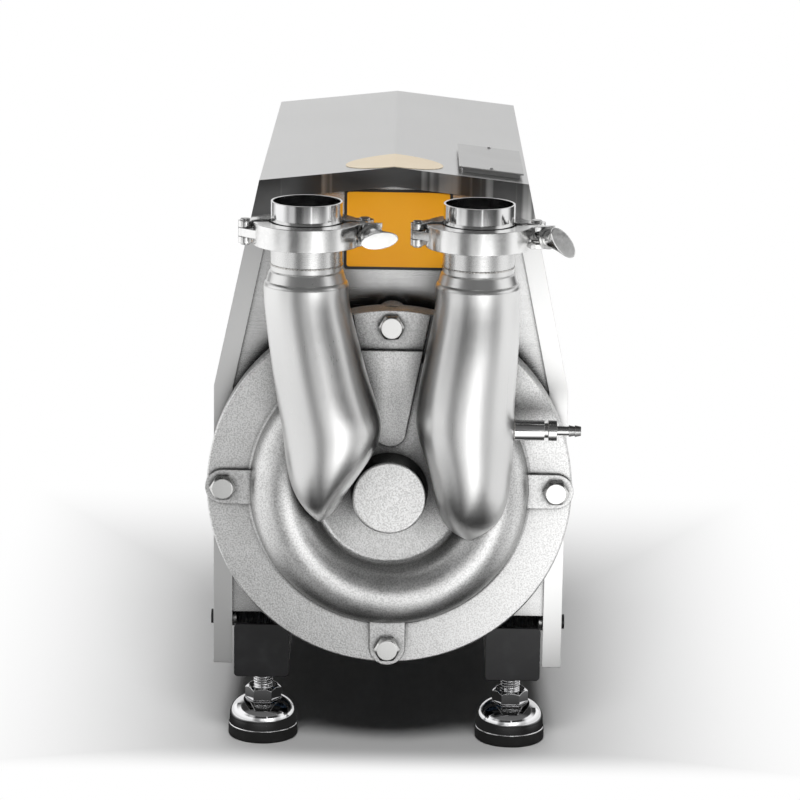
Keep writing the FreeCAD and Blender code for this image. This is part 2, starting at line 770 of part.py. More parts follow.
def make_cover_fasteners():
    """The ring seal between cover and casing, and the four hexagon bolts."""
    joint = D.flange_thick
    ring = D.ring_groove
    section = D.ring_section - D.run_gap
    seal = turned(
        "cover_seal_ring",
        MACHINE,
        (ring - section, joint + D.run_gap),
        (ring + section, joint + D.run_gap),
        (ring + section, joint + D.ring_section),
        (ring - section, joint + D.ring_section),
    )
    keep(seal)
    bolts = []
    for number in range(4):
        across = D.bolt_circle * round(math.cos(number * math.pi / 2))
        up = D.bolt_circle * round(math.sin(number * math.pi / 2))
        face = shifted(MACHINE, across, -D.boss_high, up)
        head = hexagon("cover_bolt_head", D.bolt_head, D.bolt_head_high, face, Y_FRONT_WAY)
        crown = cone(
            "cover_bolt_crown",
            D.bolt_head / math.sqrt(3) + D.bolt_head_high * 0.5,
            D.bolt_head / 2 - D.edge_break,
            D.bolt_head_high,
            face,
            Y_FRONT_WAY,
        )
        shaped = doc.addObject("Part::Common", "cover_bolt_shaped")
        shaped.Base = head
        shaped.Tool = crown
        long = D.boss_high + D.flange_thick * 2 + D.casing_back - D.cast_wall - D.edge_break
        shank = cylinder("cover_bolt_shank", D.bolt_radius, long, face, Y_WAY)
        bolts.append(fused("cover_bolt_%d" % (number + 1), shaped, shank))
    keep(group("cover_bolts", bolts))


# rotor


def make_impeller():
    """A star impeller: hub, thin web and straight radial vanes."""
    piece = Piece("impeller", shifted(MACHINE, y=D.plate_back + D.side_gap))
    wide = D.impeller_wide
    web = D.vane_thick / 2
    hub = piece.draw("XY").outline(
        (D.seat_radius, 0),
        (D.impeller_hub, 0),
        (D.impeller_hub, wide / 2 - web),
        (D.impeller_radius - wide, wide / 2 - web / 2),
        (D.impeller_radius - wide, wide / 2 + web / 2),
        (D.impeller_hub, wide / 2 + web),
        (D.impeller_hub, wide),
        (D.seat_radius, wide),
    )
    piece.turn(hub)
    vane = piece.draw("XZ").outline(
        (D.impeller_hub - web, -D.vane_thick / 2),
        (D.impeller_radius, -D.vane_thick / 2),
        (D.impeller_radius, D.vane_thick / 2),
        (D.impeller_hub - web, D.vane_thick / 2),
    )
    blade = piece.pad(vane, wide, back=True)
    piece.ring([blade], vane, D.vane_count)
    return keep(piece)


def make_pump_shaft():
    """The stub shaft that the impeller sits on and the motor shaft plugs into."""
    impeller_front = D.plate_back + D.side_gap
    impeller_back = impeller_front + D.impeller_wide
    nose = impeller_front - D.nose_long
    seal_end = D.flange_thick * 2 + D.casing_back + D.seal_boss_long + D.flange_thick / 2
    hub_end = D.motor_face - D.lantern_flange / 2
    shaft_tip = D.motor_face - D.shaft_overlap
    keep(
        turned(
            "pump_shaft",
            MACHINE,
            (0, nose),
            (D.nose_radius - D.edge_break, nose),
            (D.nose_radius, nose + D.edge_break),
            (D.nose_radius, impeller_front),
            (D.seat_radius, impeller_front),
            (D.seat_radius, impeller_back),
            (D.sleeve_radius, impeller_back),
            (D.sleeve_radius, seal_end),
            (D.coupling_radius, seal_end),
            (D.coupling_radius, hub_end),
            (D.drive_radius, hub_end),
            (D.drive_radius, shaft_tip),
            (0, shaft_tip),
        )
    )
    nut_long = D.hub_reach - D.hub_wall + impeller_front - 4 * D.edge_break
    nut = D.hub_radius - D.hub_wall - 4 * D.edge_break
    dome = nut / 2
    keep(
        turned(
            "impeller_nut",
            MACHINE,
            (0, impeller_front - nut_long),
            (dome, impeller_front - nut_long),
            Arc((dome, impeller_front - nut_long + dome), dome),
            (nut, impeller_front - nut_long + dome),
            (nut, impeller_front),
            (D.nose_radius, impeller_front),
            (D.nose_radius, nose),
            (0, nose),
        )
    )
    floor = D.flange_thick * 2 - 2 * D.edge_break
    seal_from = floor + D.clear_gap
    seal_long = (D.casing_back + D.seal_boss_long) / 2 - D.edge_break
    keep(
        turned(
            "rotating_seal_ring",
            MACHINE,
            *tube_outline(D.sleeve_radius, D.seal_ring_radius, seal_from, seal_from + seal_long),
        )
    )
    seat_from = seal_from + seal_long + D.run_gap
    seat_to = floor + D.casing_back + D.seal_boss_long - 2 * D.edge_break
    keep(
        turned(
            "seal_seat",
            MACHINE,
            *tube_outline(D.sleeve_radius + D.edge_break, D.seal_room, seat_from, seat_to),
        )
    )


# pipes


def pipe_loft(label, name, side, inset):
    """A smooth solid through a pipe's stations, drawn in by a wall."""
    rings = []
    for letter in LETTERS[: len(PIPE_STATIONS[name])]:
        station = "%s_station_%s_" % (name, letter)
        half = getattr(D, station + "half")
        front = getattr(D, station + "front")
        back = getattr(D, station + "back")
        across = side * getattr(D, station + "across")
        ring = doc.addObject("Part::Ellipse", label + "_ring")
        bind(ring, MajorRadius=(front + back) / 2 - inset, MinorRadius=half - inset)
        where = (across, D.front_face + (back - front) / 2, getattr(D, station + "height"))
        rings.append(place(ring, where, (FreeCAD.Vector(0, 0, 1), 90)))
    loft = doc.addObject("Part::Loft", label)
    loft.Sections = rings
    loft.Solid = True
    return loft


def make_pipe(name, side):
    """A formed pipe: belly loft, shoulder and neck, cut off flush with the cover's inner face."""
    skin = pipe_loft(name + "_pipe_skin", name, side, lift(0))
    hollow = pipe_loft(name + "_pipe_hollow", name, side, D.pipe_wall)
    behind = block(
        name + "_pipe_end",
        (2 * D.rim_radius, D.rim_radius, 2 * D.rim_radius),
        (-D.rim_radius, D.front_face + D.plate_back, D.axis_height - D.rim_radius),
    )
    wall = D.pipe_wall
    bend = 2 * wall
    bore = D.tube_radius - D.tube_wall
    low = D.shoulder_height
    top = D.gasket_height - D.gasket_half - D.ferrule_long
    neck = top - bend
    drop = wall / 2
    lap = D.clear_gap / 2
    outer = D.pipe_radius - lap
    collar = turned(
        name + "_pipe_shoulder",
        (side * D.port_x, D.front_face - D.port_reach, lift(0)),
        (D.pipe_radius - wall + lap, low - drop),
        (outer, low - drop),
        (outer, low),
        Arc((outer - bend, low), bend),
        (outer - bend * 0.4, low + bend * 0.8),
        (D.tube_radius + drop, neck - drop),
        (D.tube_radius, neck),
        (D.tube_radius, top),
        (bore, top),
        (bore, neck - wall),
        (D.pipe_radius - wall + lap, low + wall),
        about="Z",
    )
    shell = less(name + "_pipe_shell", skin, hollow, behind)
    return skin, fused(name + "_pipe_joined", shell, collar.body)


def ferrule(label, where, turn):
    """A clamp ferrule, its gasket face at the height of where and its tube downwards."""
    bore = D.tube_radius - D.tube_wall
    slope = sine(D.ferrule_slope) / cosine(D.ferrule_slope)
    face = -D.gasket_half
    rim = face - D.ferrule_rim
    heel = rim - (D.ferrule_radius - D.tube_radius) * slope
    groove = D.bead_section + D.run_gap
    return turned(
        label,
        where,
        (bore, face - D.ferrule_long),
        (D.tube_radius, face - D.ferrule_long),
        (D.tube_radius, heel),
        (D.ferrule_radius, rim),
        (D.ferrule_radius, face),
        (D.bead_radius + groove, face),
        Arc((D.bead_radius, face), groove, False),
        (D.bead_radius - groove, face),
        (bore, face),
        about="Z",
        turn=turn,
    )


def make_ports():
    """Both ports: pipe, ferrules, gasket and weld stub. Returns what the cover needs."""
    UPSIDE_DOWN = (FreeCAD.Vector(1, 0, 0), 180)
    lower = []
    gaskets = []
    for name, side in (("inlet", -1), ("outlet", 1)):
        port = (side * D.port_x, D.front_face - D.port_reach, D.gasket_height)
        lower.append(ferrule(name + "_lower_ferrule", port, Z_WAY).body)
        keep(ferrule(name + "_weld_stub", port, UPSIDE_DOWN))
        bore = D.tube_radius - D.tube_wall
        half = D.gasket_half
        bead = D.bead_section
        ring = turned(
            name + "_gasket",
            port,
            (bore, -half),
            (D.bead_radius - bead, -half),
            Arc((D.bead_radius, -half), bead),
            (D.bead_radius + bead, -half),
            (D.ferrule_radius, -half),
            (D.ferrule_radius, half),
            (D.bead_radius + bead, half),
            Arc((D.bead_radius, half), bead),
            (D.bead_radius - bead, half),
            (bore, half),
            about="Z",
        )
        gaskets.append(ring.body)
    keep(group("lower_ferrules", lower))
    keep(group("port_gaskets", gaskets))


# clamps


def groove_cut(piece):
    """Cut the band's bore and its sloped groove, which clear the two ferrules."""
    slope = sine(D.ferrule_slope) / cosine(D.ferrule_slope)
    gap = D.clear_gap / cosine(D.ferrule_slope)
    rim = D.ferrule_radius + 2 * D.clear_gap
    rim_half = D.gasket_half + D.ferrule_rim + gap - 2 * D.clear_gap * slope
    lip_half = rim_half + (rim - D.band_bore) * slope
    groove = piece.draw("XZ").outline(
        (0, -D.band_half - 1),
        (D.band_bore, -D.band_half - 1),
        (D.band_bore, -lip_half),
        (rim, -rim_half),
        (rim, rim_half),
        (D.band_bore, lip_half),
        (D.band_bore, D.band_half + 1),
        (0, D.band_half + 1),
    )
    piece.turn(groove, cut=True)


def band_half(piece, side):
    """Half of the clamp band, before it is grooved. side is -1 at the front."""
    band = piece.draw("YZ").box(
        (side * (D.band_bore - 1), -D.band_half), (side * D.band_radius, D.band_half)
    )
    piece.turn(band, "V_Axis", 180 - 2 * D.band_open, middle=True)


def make_clamp_front(label, port):
    """The half that swings: band, hinge tongue and the slotted ear."""
    piece = Piece(label, port)
    band_half(piece, -1)
    tongue = piece.draw("XY").outline(
        (-D.hinge_reach - D.knuckle_radius * 0.8, -D.knuckle_radius * 0.6),
        (-D.band_radius * 0.93, -D.band_radius * 0.36),
        (-D.band_radius * 0.8, -D.band_radius * 0.24),
        (-D.hinge_reach + D.knuckle_radius, 0),
    )
    piece.pad(tongue, 2 * D.tongue_half, both=True)
    knuckle = piece.draw("XY").disc((-D.hinge_reach, 0), D.knuckle_radius)
    piece.pad(knuckle, 2 * D.tongue_half, both=True)
    tip_run = D.ear_end - D.swing_x
    tip_drop = root(D.ear_seat * D.ear_seat - tip_run * tip_run)
    brow_run = D.ear_seat * 0.09
    brow_drop = D.ear_seat * 0.996
    side_x = D.band_radius * 0.87
    side_y = -D.band_radius * 0.4931
    chord_x = D.swing_x - brow_run - side_x
    chord_y = D.swing_y - brow_drop - side_y
    half_chord = root(chord_x * chord_x + chord_y * chord_y) / 2
    rise = root(D.ear_hollow * D.ear_hollow - half_chord * half_chord)
    hollow = (
        side_x + chord_x / 2 + rise * chord_y / half_chord / 2,
        side_y + chord_y / 2 - rise * chord_x / half_chord / 2,
    )
    ear = piece.draw("XY").outline(
        (D.band_bore + 3, -D.ear_back),
        (D.band_bore + 3, -D.band_radius * 0.42),
        (side_x, side_y),
        Arc(hollow, D.ear_hollow, False),
        (D.swing_x - brow_run, D.swing_y - brow_drop),
        Arc((D.swing_x, D.swing_y), D.ear_seat),
        (D.ear_end, D.swing_y - tip_drop),
        (D.ear_end, -D.ear_back),
    )
    piece.pad(ear, 2 * D.band_half, both=True)
    groove_cut(piece)
    slot = piece.draw("XZ").outline(
        (D.swing_x, -D.slot_half),
        (D.ear_end + D.lug_radius, -D.slot_half),
        (D.ear_end + D.lug_radius, D.slot_half),
        (D.swing_x, D.slot_half),
        Arc((D.swing_x, 0), D.slot_half),
    )
    piece.pad(slot, 2 * D.band_radius, cut=True, both=True)
    pin = piece.draw("XY").disc((-D.hinge_reach, 0), D.hinge_pin + D.run_gap)
    piece.pad(pin, 4 * D.band_half, cut=True, both=True)
    return keep(piece)


def make_clamp_back(label, port):
    """The half that stays: band, hinge fork and the forked lug of the swing bolt."""
    piece = Piece(label, port)
    band_half(piece, 1)
    fork = piece.draw("XY").outline(
        (-D.hinge_reach - D.knuckle_radius * 0.8, D.knuckle_radius * 0.6),
        (-D.hinge_reach + D.knuckle_radius, 0),
        (-D.band_radius * 0.8, D.band_radius * 0.24),
        (-D.band_radius * 0.93, D.band_radius * 0.36),
    )
    piece.pad(fork, 2 * D.band_half, both=True)
    knuckle = piece.draw("XY").disc((-D.hinge_reach, 0), D.knuckle_radius)
    piece.pad(knuckle, 2 * D.band_half, both=True)
    lug = piece.draw("XY").outline(
        (D.band_bore + 4, D.band_radius * 0.25),
        (D.swing_x - D.lug_radius * 0.6, D.swing_y - D.lug_radius),
        (D.swing_x, D.swing_y - D.lug_radius),
        Arc((D.swing_x, D.swing_y), D.lug_radius),
        (D.swing_x, D.swing_y + D.lug_radius),
        (D.band_bore + 5, D.band_radius * 0.42),
    )
    piece.pad(lug, 2 * D.band_half, both=True)
    groove_cut(piece)
    gap = D.clear_gap
    tongue_room = piece.draw("XZ").box(
        (-D.hinge_reach - 2 * D.knuckle_radius, -D.tongue_half - gap),
        (-D.hinge_reach + D.knuckle_radius + gap, D.tongue_half + gap),
    )
    piece.pad(tongue_room, 2 * D.band_radius, cut=True, both=True)
    eye_room = piece.draw("XZ").box(
        (D.swing_x - D.eye_radius - 2 * gap, -D.eye_half - gap),
        (D.swing_x + 2 * D.lug_radius, D.eye_half + gap),
    )
    piece.pad(eye_room, 2 * D.band_radius, cut=True, both=True)
    pin = piece.draw("XY").disc((-D.hinge_reach, 0), D.hinge_pin + D.run_gap)
    pin.disc((D.swing_x, D.swing_y), D.swing_pin + D.run_gap)
    piece.pad(pin, 4 * D.band_half, cut=True, both=True)
    return piece.body


def headed_pin(label, radius, where):
    """A pin with a low head at each end, through the clamp's full height."""
    high = D.band_half + D.pin_head_high
    head = D.pin_head + radius - D.hinge_pin
    return turned(
        label,
        where,
        (0, -high),
        (head - D.edge_break / 2, -high),
        (head, -high + D.edge_break / 2),
        (head, -D.band_half),
        (radius, -D.band_half),
        (radius, D.band_half),
        (head, D.band_half),
        (head, high - D.edge_break / 2),
        (head - D.edge_break / 2, high),
        (0, high),
        about="Z",
    ).body


def make_swing_bolt(label, pivot, lean):
    """An eye bolt on the swing pin, drawn along -Y and turned outwards by its lean."""
    piece = Piece(label, pivot, (FreeCAD.Vector(0, 0, 1), lean))
    end = D.bolt_long
    shank = piece.draw("XY").outline(
        (0, -end),
        (D.bolt_thread - D.edge_break, -end),
        (D.bolt_thread, -end + D.edge_break),
        (D.bolt_thread, -D.eye_radius * 0.5),
        (0, -D.eye_radius * 0.5),
    )
    piece.turn(shank)
    eye = piece.draw("XY").disc((0, 0), D.eye_radius)
    piece.pad(eye, 2 * D.eye_half, both=True)
    hole = piece.draw("XY").disc((0, 0), D.swing_pin + D.run_gap)
    piece.pad(hole, 4 * D.eye_half, cut=True, both=True)
    return keep(piece)


def make_clamp_washer(label, pivot, lean):
    """The plain washer between ear and wing nut."""
    seat = D.ear_seat + D.clear_gap / 2
    ring = tube_outline(
        D.bolt_thread + 2 * D.clear_gap, D.washer_radius, -seat - D.washer_thick, -seat
    )
    return keep(turned(label, pivot, *ring, turn=(FreeCAD.Vector(0, 0, 1), lean)))


def make_wing_nut(label, pivot, lean, twist):
    """A cast wing nut: a round foot that flares into a flat lens-shaped grip."""
    start = D.ear_seat + D.clear_gap / 2 + D.washer_thick + D.run_gap
    rings = []
    for share, wide, thick in (
        (0.0, D.nut_hub, D.nut_hub),
        (0.25, D.nut_hub + 0.4, D.nut_hub),
        (0.6, (D.nut_hub + D.wing_half) / 2, D.wing_thick),
        (0.86, D.wing_half - 0.5, D.wing_thick),
        (1.0, D.wing_half, D.wing_thick),
    ):
        ring = doc.addObject("Part::Ellipse", label + "_ring")
        bind(ring, MajorRadius=wide, MinorRadius=thick)
        rings.append(place(ring, (0, 0, D.nut_long * share)))
    flare = doc.addObject("Part::Loft", label + "_flare")
    flare.Sections = rings
    flare.Solid = True
    bore = cylinder(label + "_bore", D.bolt_thread + D.run_gap, D.nut_long - D.nut_end_wall, (0, 0, 0))
    nut = less(label + "_blank", flare, bore)
    nut.Placement = FreeCAD.Placement(
        FreeCAD.Vector(0, -start.value, 0), FreeCAD.Rotation(FreeCAD.Vector(1, 0, 0), 90)
    )
    nut.setExpression("Placement.Base.y", (-start).formula)
    twisted = group(label + "_twisted", [nut])
    twisted.Placement = FreeCAD.Placement(
        FreeCAD.Vector(0, 0, 0), FreeCAD.Rotation(FreeCAD.Vector(0, 1, 0), twist.value)
    )
    twisted.setExpression("Placement.Rotation.Angle", twist.formula)
    return keep(place(group(label, [twisted]), pivot, (FreeCAD.Vector(0, 0, 1), lean)))


def make_clamps():
    """Both port clamps, each with its pins, swing bolt, washer and wing nut."""
    backs = []
    pins = []
    for name, side, lean, twist in (
        ("inlet", -1, D.inlet_lean, D.inlet_nut_turn),
        ("outlet", 1, D.outlet_lean, D.outlet_nut_turn),
    ):
        port = (side * D.port_x, D.front_face - D.port_reach, D.gasket_height)
        pivot = shifted(port, D.swing_x, D.swing_y)
        make_clamp_front(name + "_clamp_front", port)
        backs.append(make_clamp_back(name + "_clamp_back", port))
        pins.append(headed_pin(name + "_hinge_pin", D.hinge_pin, shifted(port, -D.hinge_reach)))
        pins.append(headed_pin(name + "_swing_pin", D.swing_pin, pivot))
        make_swing_bolt(name + "_swing_bolt", pivot, lean)
        make_clamp_washer(name + "_clamp_washer", pivot, lean)
        make_wing_nut(name + "_wing_nut", pivot, lean, twist)
    keep(group("clamp_back_halves", backs))
    keep(group("clamp_pins", pins))


# drain barb


def make_drain_barb(pipe_skin):
    """The welded sleeve on the outlet pipe and the screwed hose barb."""
    where = (lift(0), D.front_face - D.barb_reach, D.barb_height)
    start = D.barb_from
    sleeve = turned(
        "barb_sleeve_bar",
        where,
        *tube_outline(D.barb_thread + D.run_gap, D.barb_sleeve, start, D.barb_sleeve_end),
        turn=(FreeCAD.Vector(0, 0, 1), -90),
    )
    keep(less("drain_sleeve", sleeve.body, pipe_skin))
    step = (D.barb_end - D.barb_knurl_to) / 4
    screwed = D.barb_sleeve_end - D.barb_knurl
    keep(
        turned(
            "hose_barb",
            where,
            (D.barb_bore, screwed),
            (D.barb_thread, screwed),
            (D.barb_thread, D.barb_knurl_from),
            (D.barb_knurl, D.barb_knurl_from),
            (D.barb_knurl, D.barb_knurl_to),
            (D.barb_tail, D.barb_knurl_to),
            (D.barb_tail, D.barb_end - 2 * step),
            (D.barb_ridge, D.barb_end - 2 * step),
            (D.barb_tail, D.barb_end - step),
            (D.barb_ridge, D.barb_end - step),
            (D.barb_tail, D.barb_end),
            (D.barb_bore, D.barb_end),
            turn=(FreeCAD.Vector(0, 0, 1), -90),
        )
    )


# base


def square_outline(half):
    """Corners of a square about the sketch origin."""
    return ((-half, -half), (half, -half), (half, half), (-half, half))


def make_base():
    """The welded base: two square tubes, two straps across them and four shroud standoffs."""
    rails = []
    caps = []
    for name, side in (("left", -1), ("right", 1)):
        centre = (side * D.rail_x, D.front_face, D.rail_bottom + D.rail_wide / 2)
        piece = Piece(name + "_rail", centre)
        outer = piece.draw("XZ", offset=-D.rail_front).outline(*square_outline(D.rail_wide / 2))
        piece.pad(outer, D.rail_back - D.rail_front, back=True)
        piece.soften(D.rail_round, lambda edge: along(edge, "y"))
        inner = piece.draw("XZ", offset=-D.rail_front).outline(
            *square_outline(D.rail_wide / 2 - D.rail_wall)
        )
        piece.pad(inner, D.rail_back - D.rail_front, cut=True)
        piece.body.Tip.Reversed = False
        studs = piece.draw("XY").disc((0, D.foot_front), D.stud_radius + 2 * D.clear_gap)
        studs.disc((0, D.foot_back), D.stud_radius + 2 * D.clear_gap)
        piece.pad(studs, D.rail_wide, cut=True)
        bolts = piece.draw("XY")
        for station in (D.motor_foot_front, D.motor_foot_back):
            bolts.disc((0, D.motor_face + station), D.motor_bolt + D.clear_gap)
        piece.pad(bolts, D.rail_wide, cut=True, back=True)
        rails.append(piece.body)
        for end, way in ((D.rail_front, -1), (D.rail_back, 1)):
            cap = Piece(name + "_cap", shifted(centre, y=end))
            flange = cap.draw("XZ").outline(*square_outline(D.rail_wide / 2 + D.cap_proud))
            cap.pad(flange, D.cap_thick, back=way > 0)
            cap.soften(D.rail_round, lambda edge: along(edge, "y"))
            plug = cap.draw("XZ").outline(
                *square_outline(D.rail_wide / 2 - D.rail_wall - D.run_gap)
            )
            cap.pad(plug, D.cap_plug, back=way < 0)
            caps.append(cap.body)
    keep(group("rail_end_caps", caps))
    keep(fused("base_frame", *rails, *cross_straps(), *standoffs()))


def cross_straps():
    """Two straps across the rails, under the motor feet."""
    straps = []
    for number, station in enumerate((D.motor_foot_front, D.motor_foot_back), start=1):
        top = D.rail_bottom + D.rail_wide
        where = (lift(0), D.front_face + D.motor_face + station, top)
        piece = Piece("cross_strap_%d" % number, where)
        half = D.rail_x + D.rail_wide / 2
        strap = piece.draw("XY").box((-half, -D.cross_wide / 2), (half, D.cross_wide / 2))
        strap.disc((-D.motor_foot_x, 0), D.motor_bolt + D.clear_gap)
        strap.disc((D.motor_foot_x, 0), D.motor_bolt + D.clear_gap)
        piece.pad(strap, D.cross_thick)
        straps.append(piece.body)
    return straps


def side_screw_places():
    """Where the shroud screws go: side, the way it faces and the station along the machine."""
    places = []
    for station in (D.side_screw_front, D.side_screw_back):
        places.append((-1, X_BACK_WAY, station))
        places.append((1, X_WAY, station))
    return places


def standoffs():
    """Four round standoffs on the rails, which the shroud screws go into."""
    bars = []
    gap = D.shroud_half - D.sheet_thick - D.rail_x - D.rail_wide / 2
    for side, way, station in side_screw_places():
        foot = (side * (D.rail_x + D.rail_wide / 2), D.front_face + station, D.side_screw_height)
        bar = cylinder("standoff_bar", D.standoff_radius, gap, foot, way)
        bore = cylinder("standoff_bore", D.side_screw_radius, gap, foot, way)
        bars.append(less("standoff", bar, bore))
    return bars


def make_foot(name, where):
    """A levelling foot: rubber pad, domed cup and hexagon stud."""
    keep(
        turned(
            name + "_foot_pad",
            where,
            (0, 0),
            (D.pad_radius - D.edge_break, 0),
            (D.pad_radius, D.edge_break),
            (D.pad_radius, D.pad_high),
            (0, D.pad_high),
            about="Z",
        )
    )
    side_top = D.pad_high + D.cup_side
    dome = D.cup_top - side_top
    keep(
        turned(
            name + "_foot_cup",
            where,
            (0, D.pad_high),
            (D.cup_radius, D.pad_high),
            (D.cup_radius - D.edge_break / 2, side_top),
            Arc((D.cup_radius - D.edge_break / 2 - dome, side_top), dome),
            (D.cup_radius - D.edge_break / 2 - dome, D.cup_top),
            (D.stud_socket + D.run_gap, D.cup_top),
            (D.stud_socket + D.run_gap, side_top),
            (0, side_top),
            about="Z",
        )
    )
    hex_from = D.cup_top + D.clear_gap
    stem = cylinder(
        name + "_stem", D.stud_socket, D.cup_top - side_top, shifted(where, z=side_top + D.clear_gap)
    )
    nut = hexagon(name + "_hex", D.stud_hex, D.stud_hex_high, shifted(where, z=hex_from))
    crown = cone(
        name + "_crown",
        D.stud_hex / math.sqrt(3) + D.stud_hex_high * 0.9,
        D.stud_hex / 2 - D.edge_break,
        D.stud_hex_high,
        shifted(where, z=hex_from),
    )
    shaped = doc.addObject("Part::Common", name + "_shaped")
    shaped.Base = nut
    shaped.Tool = crown
    screw_from = hex_from + D.stud_hex_high
    screw = cylinder(
        name + "_screw", D.stud_radius, D.stud_top - screw_from, shifted(where, z=screw_from)
    )
    keep(fused(name + "_foot_stud", stem, shaped, screw))


def make_feet():
    """Four feet, each with a jam nut below its rail and a weld nut inside."""
    nuts = []
    for end, station in (("front", D.foot_front), ("back", D.foot_back)):
        for side_name, side in (("left", -1), ("right", 1)):
            name = end + "_" + side_name
            where = (side * D.rail_x, D.front_face + station, lift(0))
            make_foot(name, where)
            inside = D.rail_bottom + D.rail_wall
            for level in (D.rail_bottom - D.foot_nut_high, inside):
                blank = hexagon(
                    name + "_nut_blank", D.foot_nut, D.foot_nut_high, shifted(where, z=level)
                )
                bore = cylinder(
                    name + "_nut_bore",
                    D.stud_radius + D.run_gap,
                    D.foot_nut_high,
                    shifted(where, z=level),
                )
                nuts.append(less(name + "_nut", blank, bore))
    keep(group("foot_nuts", nuts))


# shroud


def shroud_corners(inset, bottom):
    """The shroud's section drawn in by a width on every side, down to a level."""
    side = D.shroud_half - inset
    lean_run = D.shroud_half - D.shoulder_half
    lean_rise = D.roof_edge - D.shroud_bend
    lean = root(lean_run * lean_run + lean_rise * lean_rise)
    roof_run = D.shoulder_half
    roof_rise = D.roof_ridge - D.roof_edge
    roof = root(roof_run * roof_run + roof_rise * roof_rise)
    ridge = D.roof_ridge - inset * roof / roof_run
    bend = D.shroud_bend - inset * (lean - lean_rise) / lean_run
    slope = roof_rise / roof_run
    pitch = lean_run / lean_rise
    wall_x = D.shoulder_half - inset * lean / lean_rise
    edge_rise = (ridge - slope * wall_x - D.roof_edge) / (1 - slope * pitch)
    shoulder_x = wall_x - edge_rise * pitch
    shoulder_z = D.roof_edge + edge_rise
    return [
        (side, bottom),
        (side, bend),
        (shoulder_x, shoulder_z),
        (0, ridge),
        (-shoulder_x, shoulder_z),
        (-side, bend),
        (-side, bottom),
    ]


def make_shroud():
    """The sheet shroud: two sides and a low roof in one bend, with a front return flange."""
    where = (lift(0), D.front_face + D.shroud_front, lift(0))
    piece = Piece("shroud", where)
    outer = shroud_corners(lift(0), D.shroud_bottom)
    inner = shroud_corners(D.sheet_thick, D.shroud_bottom)
    arch = piece.draw("XZ").outline(*outer, *reversed(inner))
    piece.pad(arch, D.shroud_long, back=True)
    flange_in = shroud_corners(D.return_wide, D.shroud_bottom)
    flange = piece.draw("XZ").outline(*outer, *reversed(flange_in))
    piece.pad(flange, D.sheet_thick, back=True)
    holes = piece.draw("YZ")
    for station in (D.side_screw_front, D.side_screw_back):
        centre = (station - D.shroud_front, D.side_screw_height)
        holes.disc(centre, D.side_screw_radius + D.clear_gap)
    piece.pad(holes, 3 * D.shroud_half, cut=True, both=True)
    return keep(piece)


def make_panels():
    """The recessed front panel and the vented rear panel."""
    behind = D.front_face + D.shroud_front + D.sheet_thick
    front = Piece("front_panel", (lift(0), behind, lift(0)))
    corners = shroud_corners(D.sheet_thick, D.panel_bottom)
    sheet_face = front.draw("XZ").outline(*corners)
    sheet_face.disc((0, D.axis_height), D.panel_hole)
    front.pad(sheet_face, D.sheet_thick, back=True)
    keep(front)
    end = D.front_face + D.shroud_front + D.shroud_long
    rear = Piece("rear_panel", (lift(0), end - D.sheet_thick, lift(0)))
    face = rear.draw("XZ").outline(*corners)
    rear.pad(face, D.sheet_thick, back=True)
    folded = rear.draw("XZ").outline(
        *corners, *reversed(shroud_corners(2 * D.sheet_thick, D.panel_bottom))
    )
    rear.pad(folded, D.return_wide)
    slot = rear.draw("XZ").box(
        (-D.louver_half, D.louver_first), (D.louver_half, D.louver_first + D.louver_high)
    )
    cut = rear.pad(slot, 4 * D.sheet_thick, cut=True, both=True)
    rows = rear.body.newObject("PartDesign::LinearPattern", "rear_panel_rows")
    rows.Originals = [cut]
    rows.Direction = (slot.sketch, ["V_Axis"])
    bind(rows, Length=D.louver_pitch * (D.louver_count - 1))
    rows.Occurrences = int(D.louver_count.value)
    rows.setExpression("Occurrences", D.louver_count.formula)
    rear.body.Tip = rows
    keep(rear)


def make_shroud_screws():
    """The screws that hold the shroud to the standoffs."""
    screws = []
    reach = D.shroud_half - D.sheet_thick - D.rail_x - D.rail_wide / 2 - 2 * D.edge_break
    for side, way, station in side_screw_places():
        face = (side * D.shroud_half, D.front_face + station, D.side_screw_height)
        head = cylinder("side_screw_top", D.side_screw_head, D.side_screw_high, face, way)
        inner = shifted(face, -side * (D.sheet_thick + reach))
        shank = cylinder("side_screw_shank", D.side_screw_radius, reach + D.sheet_thick, inner, way)
        screws.append(fused("side_screw", head, shank))
    keep(group("shroud_screws", screws))


# motor


